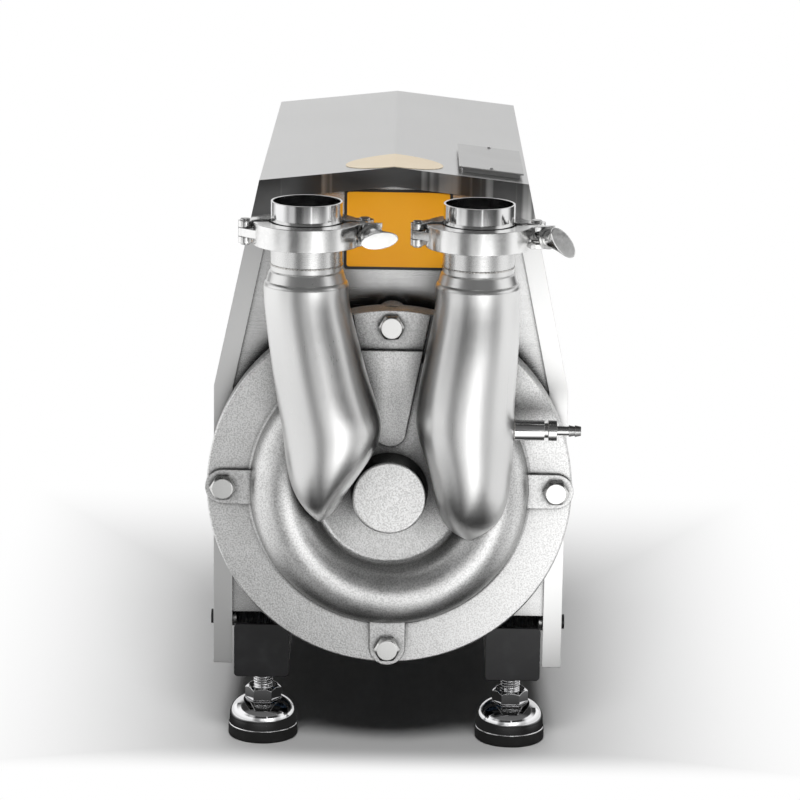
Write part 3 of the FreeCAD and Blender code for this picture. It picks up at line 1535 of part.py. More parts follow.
def make_lantern():
    """The bearing-less lantern between pump casing and motor, open at both sides."""
    front = D.flange_thick * 2 - 2 * D.edge_break + D.casing_back
    back = D.motor_face
    piece = Piece("motor_lantern")
    bore = D.lantern_tube - D.lantern_wall
    shape = piece.draw("XY").outline(
        (D.seal_boss_radius + D.clear_gap, front),
        (D.lantern_front_radius, front),
        (D.lantern_front_radius, front + D.lantern_flange),
        (D.lantern_tube, front + D.lantern_flange),
        (D.lantern_tube, back - D.lantern_flange),
        (D.motor_flange_radius, back - D.lantern_flange),
        (D.motor_flange_radius, back),
        (bore, back),
        (bore, front + D.lantern_flange),
        (D.seal_boss_radius + D.clear_gap, front + D.lantern_flange),
    )
    piece.turn(shape)
    window = piece.draw("YZ").box(
        (front + 2 * D.lantern_flange, -D.lantern_tube / 2),
        (back - 2 * D.lantern_flange, D.lantern_tube / 2),
    )
    piece.pad(window, 4 * D.lantern_tube, cut=True, both=True)
    for level, circle in ((front, D.lantern_bolt_front), (back - D.lantern_flange, D.lantern_bolt_back)):
        hole = piece.draw("XZ", offset=-level).disc((circle, 0), D.lantern_screw + D.clear_gap)
        cut = piece.pad(hole, D.lantern_flange, cut=True)
        piece.ring([cut], hole, 4)
    keep(piece)
    screws = []
    shank_long = D.lantern_flange + D.casing_back - 2 * D.edge_break - D.edge_break
    for number in range(4):
        across = round(math.cos(number * math.pi / 2))
        up = round(math.sin(number * math.pi / 2))
        for circle, level, way, other in (
            (D.lantern_bolt_front, front + D.lantern_flange, Y_WAY, Y_FRONT_WAY),
            (D.lantern_bolt_back, back - D.lantern_flange, Y_FRONT_WAY, Y_WAY),
        ):
            face = shifted(MACHINE, circle * across, level, circle * up)
            head = cylinder("lantern_screw_head", D.lantern_screw * 1.6, D.lantern_screw * 2, face, way)
            shank = cylinder("lantern_screw_shank", D.lantern_screw, shank_long, face, other)
            screws.append(fused("lantern_screw", head, shank))
    keep(group("lantern_screws", screws))


def make_motor_frame():
    """The finned motor frame with its four feet."""
    start = D.motor_face + D.shield_thick
    piece = Piece("motor_frame")
    barrel = piece.draw("XY").outline(
        *tube_outline(D.frame_inner, D.frame_outer, start, start + D.frame_long)
    )
    piece.turn(barrel)
    fin = piece.draw("XZ", offset=-(start + D.fin_thick)).box(
        (D.frame_outer - D.edge_break, -D.fin_thick / 2), (D.fin_outer, D.fin_thick / 2)
    )
    rib = piece.pad(fin, D.frame_long - 2 * D.fin_thick, back=True)
    piece.ring([rib], fin, FIN_COUNT)
    sole = D.rail_bottom + D.rail_wide + D.cross_thick - D.axis_height
    for station in (D.motor_foot_front, D.motor_foot_back):
        centre = D.motor_face + station
        feet = piece.draw("XZ", offset=-centre)
        for side in (-1, 1):
            feet.outline(
                (side * (D.motor_foot_x - D.rail_wide / 2), sole),
                (side * (D.motor_foot_x + D.rail_wide / 2), sole),
                (side * (D.motor_foot_x + D.rail_wide / 2), sole + D.motor_foot_thick),
                (side * (D.motor_foot_x - D.rail_wide * 0.3), sole + D.motor_foot_thick),
                (side * D.frame_outer * 0.8, -D.frame_outer * 0.58),
                (side * D.frame_outer * 0.62, -D.frame_outer * 0.74),
            )
        piece.pad(feet, D.motor_foot_wide, both=True)
        holes = piece.draw("XY", offset=sole)
        for side in (-1, 1):
            holes.disc((side * D.motor_foot_x, centre), D.motor_bolt + D.clear_gap)
        piece.pad(holes, 2 * D.motor_foot_thick, cut=True, back=True)
    return keep(piece)


def make_motor_bolts():
    """Hexagon bolts through the motor feet into the rails."""
    bolts = []
    sole = D.rail_bottom + D.rail_wide + D.cross_thick
    for station in (D.motor_foot_front, D.motor_foot_back):
        for side in (-1, 1):
            at = D.front_face + D.motor_face + station
            face = (side * D.motor_foot_x, at, sole + D.motor_foot_thick)
            head = hexagon("motor_bolt_head", D.bolt_head, D.bolt_head_high, face)
            long = D.motor_foot_thick + D.cross_thick + 2 * D.rail_wall
            shank = cylinder("motor_bolt_shank", D.motor_bolt, long, shifted(face, z=-long))
            bolts.append(fused("motor_bolt", head, shank))
    keep(group("motor_bolts", bolts))


def make_motor_inside():
    """End shields, bearings, stator, rotor core and shaft."""
    start = D.motor_face + D.shield_thick
    end = start + D.frame_long
    seat = D.bearing_outer
    shaft_room = D.bearing_seat + 2
    shields = []
    for label, outside, inside in (
        ("front_end_shield", D.motor_face, start),
        ("back_end_shield", end + D.shield_thick, end),
    ):
        way = 1 if label == "front_end_shield" else -1
        shield = turned(
            label,
            MACHINE,
            (shaft_room, outside),
            (D.frame_outer, outside),
            (D.frame_outer, inside),
            (D.frame_inner, inside),
            (D.frame_inner, outside + way * D.lantern_flange),
            (seat + D.lantern_wall, outside + way * D.lantern_flange),
            (seat + D.lantern_wall, inside),
            (seat, inside),
            (seat, inside - way * D.bearing_wide),
            (shaft_room, inside - way * D.bearing_wide),
        )
        if way > 0:
            hole = shield.draw("XZ", offset=-outside).disc(
                (D.lantern_bolt_back, 0), D.lantern_screw + D.clear_gap
            )
            tapped = shield.pad(hole, D.lantern_flange - 2 * D.edge_break, cut=True)
            shield.ring([tapped], hole, 4)
        shields.append(shield.body)
    keep(group("motor_end_shields", shields))
    bearings = []
    for label, low in (
        ("front_bearing", start - D.bearing_wide),
        ("back_bearing", end),
    ):
        ring = tube_outline(D.bearing_seat + D.run_gap, D.bearing_outer, low, low + D.bearing_wide)
        bearings.append(turned(label, MACHINE, *ring).body)
    keep(group("motor_bearings", bearings))
    core_from = start + D.core_start
    core_to = end - D.core_end
    head = D.core_start * 0.6
    keep(
        turned(
            "stator",
            MACHINE,
            (D.core_bore, core_from),
            (D.core_bore + D.lantern_wall / 2, core_from - head),
            (D.frame_inner - D.lantern_wall, core_from - head),
            (D.frame_inner - D.lantern_wall / 2, core_from),
            (D.frame_inner, core_from),
            (D.frame_inner, core_to),
            (D.frame_inner - D.lantern_wall / 2, core_to),
            (D.frame_inner - D.lantern_wall, core_to + head),
            (D.core_bore + D.lantern_wall / 2, core_to + head),
            (D.core_bore, core_to),
        )
    )
    keep(
        turned(
            "rotor_core",
            MACHINE,
            *tube_outline(D.core_seat, D.core_bore - D.air_gap, core_from, core_to),
        )
    )
    tip = D.motor_face - D.shaft_overlap + D.clear_gap
    fan_end = end + D.shield_thick + D.fan_wide + 4 * D.edge_break
    keep(
        turned(
            "motor_shaft",
            MACHINE,
            (0, tip),
            (D.drive_radius, tip),
            (D.drive_radius, start - D.bearing_wide - D.edge_break),
            (D.bearing_seat, start - D.bearing_wide - D.edge_break),
            (D.bearing_seat, start + D.edge_break),
            (D.core_seat, start + D.edge_break),
            (D.core_seat, end - D.edge_break),
            (D.bearing_seat, end - D.edge_break),
            (D.bearing_seat, end + D.bearing_wide + D.edge_break),
            (D.fan_seat, end + D.bearing_wide + D.edge_break),
            (D.fan_seat, fan_end),
            (0, fan_end),
        )
    )


def make_fan():
    """The radial cooling fan and its cowl with a slotted back."""
    end = D.motor_face + D.shield_thick * 2 + D.frame_long
    start = end + 3 * D.edge_break
    piece = Piece("cooling_fan", shifted(MACHINE, y=start))
    hub = piece.draw("XY").outline(
        (D.fan_seat, 0),
        (D.fan_seat * 2, 0),
        (D.fan_seat * 2, D.fan_wide - 2 * D.edge_break),
        (D.fan_radius * 0.8, D.fan_wide - 2 * D.edge_break),
        (D.fan_radius * 0.8, D.fan_wide),
        (D.fan_seat, D.fan_wide),
    )
    piece.turn(hub)
    blade = piece.draw("XZ").box(
        (D.fan_seat * 1.8, -D.fin_thick / 2), (D.fan_radius, D.fin_thick / 2)
    )
    vane = piece.pad(blade, D.fan_wide, back=True)
    piece.ring([vane], blade, BLADE_COUNT)
    keep(piece)
    cowl = Piece("fan_cowl", shifted(MACHINE, y=end - D.shield_thick + D.edge_break))
    wall = D.sheet_thick
    inner = D.frame_outer
    cup = cowl.draw("XY").outline(
        (0, D.cowl_long),
        (0, D.cowl_long - wall),
        (D.cowl_outer - D.cap_plug, D.cowl_long - wall),
        (D.cowl_outer - wall, D.cowl_long - D.cap_plug),
        (D.cowl_outer - wall, D.shield_thick / 2),
        (inner, D.shield_thick / 2),
        (inner, 0),
        (D.cowl_outer, 0),
        (D.cowl_outer, D.cowl_long - D.cap_plug),
        (D.cowl_outer - D.cap_plug, D.cowl_long),
    )
    cowl.turn(cup)
    slot = cowl.draw("XZ", offset=-D.cowl_long).box((D.fan_seat * 2, -3), (D.fan_radius, 3))
    opening = cowl.pad(slot, 2 * wall, cut=True, both=True)
    cowl.ring([opening], slot, SLOT_COUNT)
    keep(cowl)


def make_terminal_box():
    """The terminal box on the motor, its lid and its cable gland."""
    middle = D.motor_face + D.shield_thick + D.frame_long / 2
    seat = D.frame_outer * 0.8
    where = shifted(MACHINE, y=middle)
    box = Piece("terminal_box_body", where)
    walls = box.draw("XY", offset=seat).box((-D.box_half, -D.box_long / 2), (D.box_half, D.box_long / 2))
    top = D.fin_outer + D.box_high
    box.pad(walls, top - seat)
    room = box.draw("XY", offset=top).box(
        (-D.box_half + D.box_wall, -D.box_long / 2 + D.box_wall),
        (D.box_half - D.box_wall, D.box_long / 2 - D.box_wall),
    )
    box.pad(room, D.box_high - D.box_wall, cut=True)
    gland_level = D.fin_outer + D.box_high / 2
    hole = box.draw("YZ").disc((0, gland_level), D.gland_radius * 0.8 + D.run_gap)
    box.pad(hole, 2 * D.box_half, cut=True, back=True)
    frame_room = cylinder(
        "terminal_box_room",
        D.fin_outer + D.run_gap,
        D.frame_long,
        shifted(where, y=-D.frame_long / 2),
        Y_WAY,
    )
    keep(less("terminal_box", box.body, frame_room))
    lid = Piece("terminal_box_lid", shifted(where, z=top))
    cover = lid.draw("XY").box(
        (-D.box_half - 1, -D.box_long / 2 - 1), (D.box_half + 1, D.box_long / 2 + 1)
    )
    lid.pad(cover, D.lid_thick)
    lid.soften(D.rail_round, lambda edge: along(edge, "z"))
    keep(lid)
    gland = D.gland_radius
    keep(
        turned(
            "cable_gland",
            shifted(where, x=D.box_half, z=gland_level),
            (D.gland_bore, -D.box_wall),
            (gland * 0.8, -D.box_wall),
            (gland * 0.8, 0),
            (gland, 0),
            (gland, gland),
            (gland * 0.85, gland * 1.3),
            (gland * 0.85, gland * 2),
            (D.gland_bore, gland * 2),
            turn=(FreeCAD.Vector(0, 0, 1), -90),
        )
    )


def check_model():
    """Stop if any object failed or any sub-part is not sound."""
    faults = []
    for item in doc.Objects:
        if "Invalid" in item.State or "Error" in item.State:
            faults.append("%s does not build" % item.Label)
    for item in NODES:
        if item.Shape.isNull() or not item.Shape.isValid() or not item.Shape.Solids:
            faults.append("%s is not a sound solid" % item.Label)
    if faults:
        raise RuntimeError("; ".join(faults))


def write_parts():
    """Write each sub-part to its own STEP file."""
    os.makedirs("parts", exist_ok=True)
    for item in NODES:
        item.Shape.exportStep("parts/%s.step" % item.Label)
    print("%d sub-parts" % len(NODES))


def build():
    """Build the machine from the cover back."""
    inlet_skin, inlet = make_pipe("inlet", -1)
    outlet_skin, outlet = make_pipe("outlet", 1)
    make_front_cover([inlet_skin, outlet_skin])
    keep(inlet, "inlet_pipe")
    drain = cylinder(
        "drain_hole",
        D.barb_thread + D.run_gap,
        D.belly_radius,
        (D.barb_from, D.front_face - D.barb_reach, D.barb_height),
        X_WAY,
    )
    keep(less("outlet_pipe_drilled", outlet, drain), "outlet_pipe")
    make_rear_casing()
    make_cover_fasteners()
    make_impeller()
    make_pump_shaft()
    make_ports()
    make_clamps()
    make_drain_barb(outlet_skin)
    make_base()
    make_feet()
    make_shroud()
    make_panels()
    make_shroud_screws()
    make_lantern()
    make_motor_frame()
    make_motor_bolts()
    make_motor_inside()
    make_fan()
    make_terminal_box()
    doc.recompute()
    check_model()
    write_parts()


build()
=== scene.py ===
"""Looks of a self-priming sanitary pump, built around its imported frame.

Lengths are metres in the frame's own axes: +Z up from the floor, +Y from the pump cover back to the
motor, +X to the right seen from the cover.
"""

import logging
import math
from dataclasses import dataclass
from enum import Enum

import bmesh
import bpy
from mathutils import Matrix, Vector

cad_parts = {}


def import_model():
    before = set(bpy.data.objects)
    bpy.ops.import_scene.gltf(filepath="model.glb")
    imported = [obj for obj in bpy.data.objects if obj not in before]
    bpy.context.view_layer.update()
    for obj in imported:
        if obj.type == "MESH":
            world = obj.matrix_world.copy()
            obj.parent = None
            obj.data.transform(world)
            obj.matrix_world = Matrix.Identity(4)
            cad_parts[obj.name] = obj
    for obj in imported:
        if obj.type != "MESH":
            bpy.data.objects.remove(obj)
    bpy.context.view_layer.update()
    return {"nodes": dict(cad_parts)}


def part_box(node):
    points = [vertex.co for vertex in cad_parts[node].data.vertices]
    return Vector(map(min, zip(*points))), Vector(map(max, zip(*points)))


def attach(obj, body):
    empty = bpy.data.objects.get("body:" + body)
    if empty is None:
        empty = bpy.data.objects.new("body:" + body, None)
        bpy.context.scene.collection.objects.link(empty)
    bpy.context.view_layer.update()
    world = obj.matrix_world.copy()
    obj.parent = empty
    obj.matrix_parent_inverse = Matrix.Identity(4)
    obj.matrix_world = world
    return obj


logging.basicConfig(level=logging.INFO, format="%(message)s")
LOG = logging.getLogger("pump")

MM = 0.001
PLAIN = 2.0
MIDDLING = 3.0
RICH = 4.0
SHADE_SAMPLES = 4
BEVEL_SAMPLES = 6
Colour = tuple[float, float, float]
Range = tuple[float, float]


class Grain(Enum):
    """The way in which a brushed surface is drawn."""

    ALONG = "along the machine"
    ACROSS = "across the machine"
    UPRIGHT = "up and down"


STRETCH = {
    Grain.ALONG: (1.0, 0.012, 1.0),
    Grain.ACROSS: (0.012, 1.0, 1.0),
    Grain.UPRIGHT: (1.0, 1.0, 0.012),
}


class Wire:
    """A shader value that takes part in sums."""

    def __init__(self, tree: bpy.types.NodeTree, socket: bpy.types.NodeSocket) -> None:
        """Keep the node tree and the socket that carries the value."""
        self.tree = tree
        self.socket = socket

    def maths(self, operation: str, *others: "Wire | float", clamp: bool = False) -> "Wire":
        """One Math node.

        Args:
            operation: The Math node's operation.
            others: The further values that it takes.
            clamp: Whether the result is held between 0 and 1.

        Returns:
            The result.
        """
        node = self.tree.nodes.new("ShaderNodeMath")
        node.operation = operation
        node.use_clamp = clamp
        for number, value in enumerate((self, *others)):
            if isinstance(value, Wire):
                self.tree.links.new(value.socket, node.inputs[number])
            else:
                node.inputs[number].default_value = value
        return Wire(self.tree, node.outputs[0])

    def __add__(self, other: "Wire | float") -> "Wire":
        """Sum."""
        return self.maths("ADD", other)

    __radd__ = __add__

    def __mul__(self, other: "Wire | float") -> "Wire":
        """Product."""
        return self.maths("MULTIPLY", other)

    __rmul__ = __mul__

    def __sub__(self, other: "Wire | float") -> "Wire":
        """Difference."""
        return self.maths("SUBTRACT", other)

    def __rsub__(self, other: float) -> "Wire":
        """Difference from a number."""
        return (self * -1.0).maths("ADD", other)

    def held(self) -> "Wire":
        """The value held between 0 and 1."""
        return self.maths("ADD", 0.0, clamp=True)

    def held_above(self, least: float) -> "Wire":
        """The value, or the least one if that is more."""
        return self.maths("MAXIMUM", least)

    def ramp(self, low: float, high: float) -> "Wire":
        """A smooth step from 0 at one value to 1 at another."""
        node = self.tree.nodes.new("ShaderNodeMapRange")
        node.interpolation_type = "SMOOTHSTEP"
        node.inputs["From Min"].default_value = low
        node.inputs["From Max"].default_value = high
        self.tree.links.new(self.socket, node.inputs["Value"])
        return Wire(self.tree, node.outputs["Result"])


class Nodes:
    """A node tree and the ways to add to it."""

    def __init__(self, tree: bpy.types.NodeTree, space: str) -> None:
        """Empty a node tree.

        Args:
            tree: The node tree.
            space: The coordinates in which its patterns lie.
        """
        self.tree = tree
        self.tree.nodes.clear()
        self.place = self.node("ShaderNodeTexCoord").outputs[space]

    def node(self, kind: str, settings: dict | None = None, inputs: dict | None = None) -> bpy.types.Node:
        """Make any node.

        Args:
            kind: The node's type.
            settings: Its own settings, which are set first.
            inputs: Values or links of its sockets.

        Returns:
            The node.
        """
        node = self.tree.nodes.new(kind)
        for name, value in (settings or {}).items():
            setattr(node, name, value)
        for name, value in (inputs or {}).items():
            self.feed(node.inputs[name], value)
        return node

    def feed(self, socket: bpy.types.NodeSocket, value: object) -> None:
        """Set a socket to a number, a colour or a link."""
        if isinstance(value, Wire):
            self.tree.links.new(value.socket, socket)
        elif isinstance(value, bpy.types.NodeSocket):
            self.tree.links.new(value, socket)
        else:
            socket.default_value = value

    def value(self, node: bpy.types.Node, output: str | int) -> Wire:
        """One output of a node as a value."""
        return Wire(self.tree, node.outputs[output])

    def axes(self) -> tuple[Wire, Wire, Wire]:
        """The place across, along and up."""
        split = self.node("ShaderNodeSeparateXYZ", {}, {"Vector": self.place})
        return self.value(split, "X"), self.value(split, "Y"), self.value(split, "Z")

    def blend(
        self,
        factor: Wire,
        low: tuple[float, ...] | bpy.types.NodeSocket,
        high: tuple[float, ...] | bpy.types.NodeSocket,
    ) -> bpy.types.NodeSocket:
        """A colour between two colours."""
        mixed = self.node("ShaderNodeMix", {"data_type": "RGBA"})
        self.tree.links.new(factor.socket, mixed.inputs["Factor"])
        for number, colour in ((6, low), (7, high)):
            if isinstance(colour, tuple):
                mixed.inputs[number].default_value = (*colour, 1.0)
            else:
                self.tree.links.new(colour, mixed.inputs[number])
        return mixed.outputs[2]

    def grey(self, level: Wire, peak: float) -> bpy.types.NodeSocket:
        """A grey light of a level from 0 to its peak."""
        return self.blend(level * (1 / peak), (0.0, 0.0, 0.0), (peak, peak, peak))

    def choose(
        self, factor: Wire, low: bpy.types.NodeSocket, high: bpy.types.NodeSocket
    ) -> bpy.types.NodeSocket:
        """A shader between two shaders."""
        mixed = self.node("ShaderNodeMixShader", {}, {"Fac": factor, 1: low, 2: high})
        return mixed.outputs["Shader"]

    def glow(self, colour: tuple[float, ...] | bpy.types.NodeSocket) -> bpy.types.NodeSocket:
        """A light of a colour, at a strength of 1."""
        lit = self.node("ShaderNodeEmission", {}, {"Color": colour, "Strength": 1.0})
        return lit.outputs["Emission"]


class Paint(Nodes):
    """One material with a Principled shader, and the nodes that vary it."""

    def __init__(self, name: str) -> None:
        """Start an empty material.

        Args:
            name: The material's name.
        """
        self.material = bpy.data.materials.new(name)
        self.material.use_nodes = True
        super().__init__(self.material.node_tree, "Object")
        self.shader = self.node("ShaderNodeBsdfPrincipled")
        self.output = self.node(
            "ShaderNodeOutputMaterial", {}, {"Surface": self.shader.outputs["BSDF"]}
        )

    def set(self, **values: object) -> None:
        """Set the shader's sockets, with underscores for spaces, to numbers or links."""
        for name, value in values.items():
            self.feed(self.shader.inputs[name.replace("_", " ")], value)

    def noise(
        self, size: float, detail: float, stretch: tuple[float, float, float] = (1.0, 1.0, 1.0)
    ) -> Wire:
        """Noise in the object's own space.

        Args:
            size: Width of its features in metres.
            detail: Its detail: plain, middling or rich.
            stretch: How much each direction is drawn out, below 1 for longer.

        Returns:
            The noise, about 0.5.
        """
        scale = [share / size for share in stretch]
        moved = self.node("ShaderNodeMapping", {}, {"Vector": self.place, "Scale": scale})
        made = self.node(
            "ShaderNodeTexNoise",
            {},
            {"Vector": moved.outputs["Vector"], "Scale": 1.0, "Detail": detail},
        )
        return self.value(made, "Fac")

    def openness(self, reach: float) -> Wire:
        """How open the surface lies, from 0 in a crevice to 1, within a reach in metres."""
        shade = self.node("ShaderNodeAmbientOcclusion", {"samples": SHADE_SAMPLES}, {"Distance": reach})
        return self.value(shade, "AO")

    def relief(self, height: Wire, depth: float, round_off: float) -> None:
        """Raise the surface's shading.

        Args:
            height: The height, about 0 to 1.
            depth: What 1 stands for, in metres.
            round_off: Radius in metres by which sharp edges are shaded round.
        """
        edge = self.node("ShaderNodeBevel", {"samples": BEVEL_SAMPLES}, {"Radius": round_off})
        links = {
            "Height": height,
            "Distance": depth,
            "Strength": 1.0,
            "Normal": edge.outputs["Normal"],
        }
        bump = self.node("ShaderNodeBump", {}, links)
        self.set(Normal=bump.outputs["Normal"])


@dataclass(frozen=True)
class CastSteel:
    """Blasted stainless casting: fine pits, soft mottling, and painted shade that darkens its crevices."""

    name: str
    colour: Colour = (0.86, 0.86, 0.855)
    dark: Colour = (0.45, 0.45, 0.445)
    roughness: float = 0.36
    pit: float = 0.00012
    edge: float = 0.0011
    shade_reach: float = 0.032
    speckle: float = 0.0011
    mottle: float = 0.022
    painted_crevice_shade: Colour = (0.03, 0.03, 0.03)
    open_range: Range = (0.34, 0.86)
    speck_range: Range = (0.36, 0.6)
    fine_share: float = 0.6
    broad_share: float = 0.55
    fine_rough: float = 0.22
    broad_rough: float = 0.12
    broad_height: float = 1.5

    def make(self) -> bpy.types.Material:
        """Build the material."""
        paint = Paint(self.name)
        fine = paint.noise(self.speckle, PLAIN)
        broad = paint.noise(self.mottle, RICH)
        # Painted shade: the colour turns near black where ambient occlusion finds a crevice.
        clear = paint.openness(self.shade_reach).ramp(*self.open_range)
        speck = (fine.ramp(*self.speck_range) * self.fine_share + broad * self.broad_share).held()
        tone = paint.blend(speck, self.dark, self.colour)
        least = self.roughness - (self.fine_rough + self.broad_rough) / 2
        paint.set(
            Base_Color=paint.blend(clear, self.painted_crevice_shade, tone),
            Metallic=1.0,
            Roughness=(fine * self.fine_rough + broad * self.broad_rough + least).held(),
        )
        paint.relief(fine + broad * self.broad_height, self.pit, self.edge)
        return paint.material


@dataclass(frozen=True)
class SatinSteel:
    """Satin stainless tube or bar, brushed one way, with painted shade in its crevices when a reach is
    given.
    """

    name: str
    grain: Grain
    colour: Colour = (0.66, 0.66, 0.655)
    dark: Colour = (0.56, 0.56, 0.555)
    roughness: float = 0.24
    scratch: float = 0.000012
    edge: float = 0.0006
    shade_reach: float = 0.0
    line: float = 0.0008
    cloud: float = 0.045
    painted_crevice_shade: Colour = (0.12, 0.12, 0.12)
    open_range: Range = (0.25, 0.85)
    share: float = 0.5
    line_rough: float = 0.14
    cloud_rough: float = 0.08

    def make(self) -> bpy.types.Material:
        """Build the material."""
        paint = Paint(self.name)
        lines = paint.noise(self.line, MIDDLING, STRETCH[self.grain])
        cloud = paint.noise(self.cloud, PLAIN)
        tone = paint.blend((lines * self.share + cloud * self.share).held(), self.dark, self.colour)
        # Painted shade: the colour darkens where ambient occlusion finds nearby parts.
        if self.shade_reach:
            clear = paint.openness(self.shade_reach).ramp(*self.open_range)
            tone = paint.blend(clear, self.painted_crevice_shade, tone)
        least = self.roughness - (self.line_rough + self.cloud_rough) / 2
        paint.set(
            Base_Color=tone,
            Metallic=1.0,
            Roughness=(lines * self.line_rough + cloud * self.cloud_rough + least).held(),
        )
        paint.relief(lines, self.scratch, self.edge)
        return paint.material


@dataclass(frozen=True)
class FoldedSheet:
    """The shroud's satin sheet, whose front return under the roof is painted dark as shade."""

    name: str
    colour: Colour = (0.74, 0.74, 0.735)
    dark: Colour = (0.68, 0.68, 0.675)
    # Painted shade colour of the front return under the roof.
    shade: Colour = (0.13, 0.13, 0.13)
    roughness: float = 0.3
    front: Range = (-0.1408, -0.1412)
    band: Range = (0.405, 0.409)
    line: float = 0.0006
    cloud: float = 0.12
    streak: float = 0.011
    streak_range: Range = (0.46, 0.66)
    shade_most: float = 1.2
    shade_swing: float = 0.8
    cloud_share: float = 0.6
    line_share: float = 0.2
    even_share: float = 0.2
    rough_swing: float = 0.06
    scratch: float = 0.0000015
    edge: float = 0.0005

    def make(self) -> bpy.types.Material:
        """Build the material."""
        paint = Paint(self.name)
        lines = paint.noise(self.line, PLAIN, STRETCH[Grain.ALONG])
        cloud = paint.noise(self.cloud, PLAIN)
        streak = paint.noise(self.streak, PLAIN, STRETCH[Grain.UPRIGHT]).ramp(*self.streak_range)
        # Painted shade: the front face of the return band under the roof is darkened, with upright streaks.
        _, along, up = paint.axes()
        painted_shade_band = along.ramp(*self.front) * up.ramp(*self.band)
        painted_shade_band = (painted_shade_band * (self.shade_most - self.shade_swing * streak)).held()
        mixed = (cloud * self.cloud_share + lines * self.line_share + self.even_share).held()
        tone = paint.blend(mixed, self.dark, self.colour)
        least = self.roughness - self.rough_swing
        paint.set(
            Base_Color=paint.blend(painted_shade_band, tone, self.shade),
            Metallic=1.0,
            Roughness=(lines * self.rough_swing + cloud * self.rough_swing + least).held(),
        )
        paint.relief(lines, self.scratch, self.edge)
        return paint.material


@dataclass(frozen=True)
class PolishedSteel:
    """Polished or chromed metal with faint wipe marks."""

    name: str
    colour: Colour = (0.78, 0.78, 0.78)
    roughness: float = 0.09
    edge: float = 0.0005
    wipe: float = 0.012
    fine: float = 0.0006
    wipe_stretch: float = 0.3
    fine_stretch: float = 0.1
    darker: float = 0.93
    wipe_rough: float = 0.06
    fine_rough: float = 0.03
    least_drop: float = 0.04
    depth: float = 0.00001

    def make(self) -> bpy.types.Material:
        """Build the material."""
        paint = Paint(self.name)
        wipe = paint.noise(self.wipe, MIDDLING, (1.0, 1.0, self.wipe_stretch))
        fine = paint.noise(self.fine, PLAIN, (1.0, 1.0, self.fine_stretch))
        dark = tuple(share * self.darker for share in self.colour)
        least = self.roughness - self.least_drop
        paint.set(
            Base_Color=paint.blend(wipe, dark, self.colour),
            Metallic=1.0,
            Roughness=(wipe * self.wipe_rough + fine * self.fine_rough + least).held(),
        )
        paint.relief(wipe, self.depth, self.edge)
        return paint.material


@dataclass(frozen=True)
class Moulded:
    """Rubber or moulded plastic with a fine skin."""

    name: str
    colour: Colour
    roughness: float = 0.5
    skin: float = 0.00003
    grain: float = 0.0007
    wear: float = 0.012
    worn_range: Range = (0.45, 0.8)
    paler: float = 1.6
    lift: float = 0.004
    skin_rough: float = 0.15
    least_drop: float = 0.07
    edge: float = 0.0008

    def make(self) -> bpy.types.Material:
        """Build the material."""
        paint = Paint(self.name)
        skin = paint.noise(self.grain, MIDDLING)
        worn = paint.noise(self.wear, MIDDLING)
        light = tuple(share * self.paler + self.lift for share in self.colour)
        paint.set(
            Base_Color=paint.blend(worn.ramp(*self.worn_range), self.colour, light),
            Roughness=(skin * self.skin_rough + (self.roughness - self.least_drop)).held(),
        )
        paint.relief(skin, self.skin, self.edge)
        return paint.material


@dataclass(frozen=True)
class Painted:
    """Sprayed paint on a casting, with a little orange peel."""

    name: str
    colour: Colour
    roughness: float = 0.38
    peel: float = 0.0022
    dust: float = 0.03
    dust_range: Range = (0.4, 0.8)
    paler: float = 1.25
    lift: float = 0.01
    rough_swing: float = 0.1
    coat: float = 0.25
    depth: float = 0.00005
    edge: float = 0.0012

    def make(self) -> bpy.types.Material:
        """Build the material."""
        paint = Paint(self.name)
        peel = paint.noise(self.peel, PLAIN)
        dust = paint.noise(self.dust, RICH)
        pale = tuple(share * self.paler + self.lift for share in self.colour)
        least = self.roughness - self.rough_swing
        paint.set(
            Base_Color=paint.blend(dust.ramp(*self.dust_range), self.colour, pale),
            Roughness=(peel * self.rough_swing + dust * self.rough_swing + least).held(),
            Coat_Weight=self.coat,
        )
        paint.relief(peel, self.depth, self.edge)
        return paint.material


@dataclass(frozen=True)
class Printed:
    """A printed or anodised sheet, evenly coloured with slight fading."""

    name: str
    colour: Colour
    faded: Colour
    roughness: float = 0.35
    metallic: float = 0.0
    fade: float = 0.03
    grain: float = 0.0009
    grain_rough: float = 0.1
    depth: float = 0.000008
    edge: float = 0.0003

    def make(self) -> bpy.types.Material:
        """Build the material."""
        paint = Paint(self.name)
        fade = paint.noise(self.fade, PLAIN)
        fine = paint.noise(self.grain, PLAIN)
        paint.set(
            Base_Color=paint.blend(fade, self.colour, self.faded),
            Metallic=self.metallic,
            Roughness=(fine * self.grain_rough + (self.roughness - self.grain_rough / 2)).held(),
        )
        paint.relief(fine, self.depth, self.edge)
        return paint.material


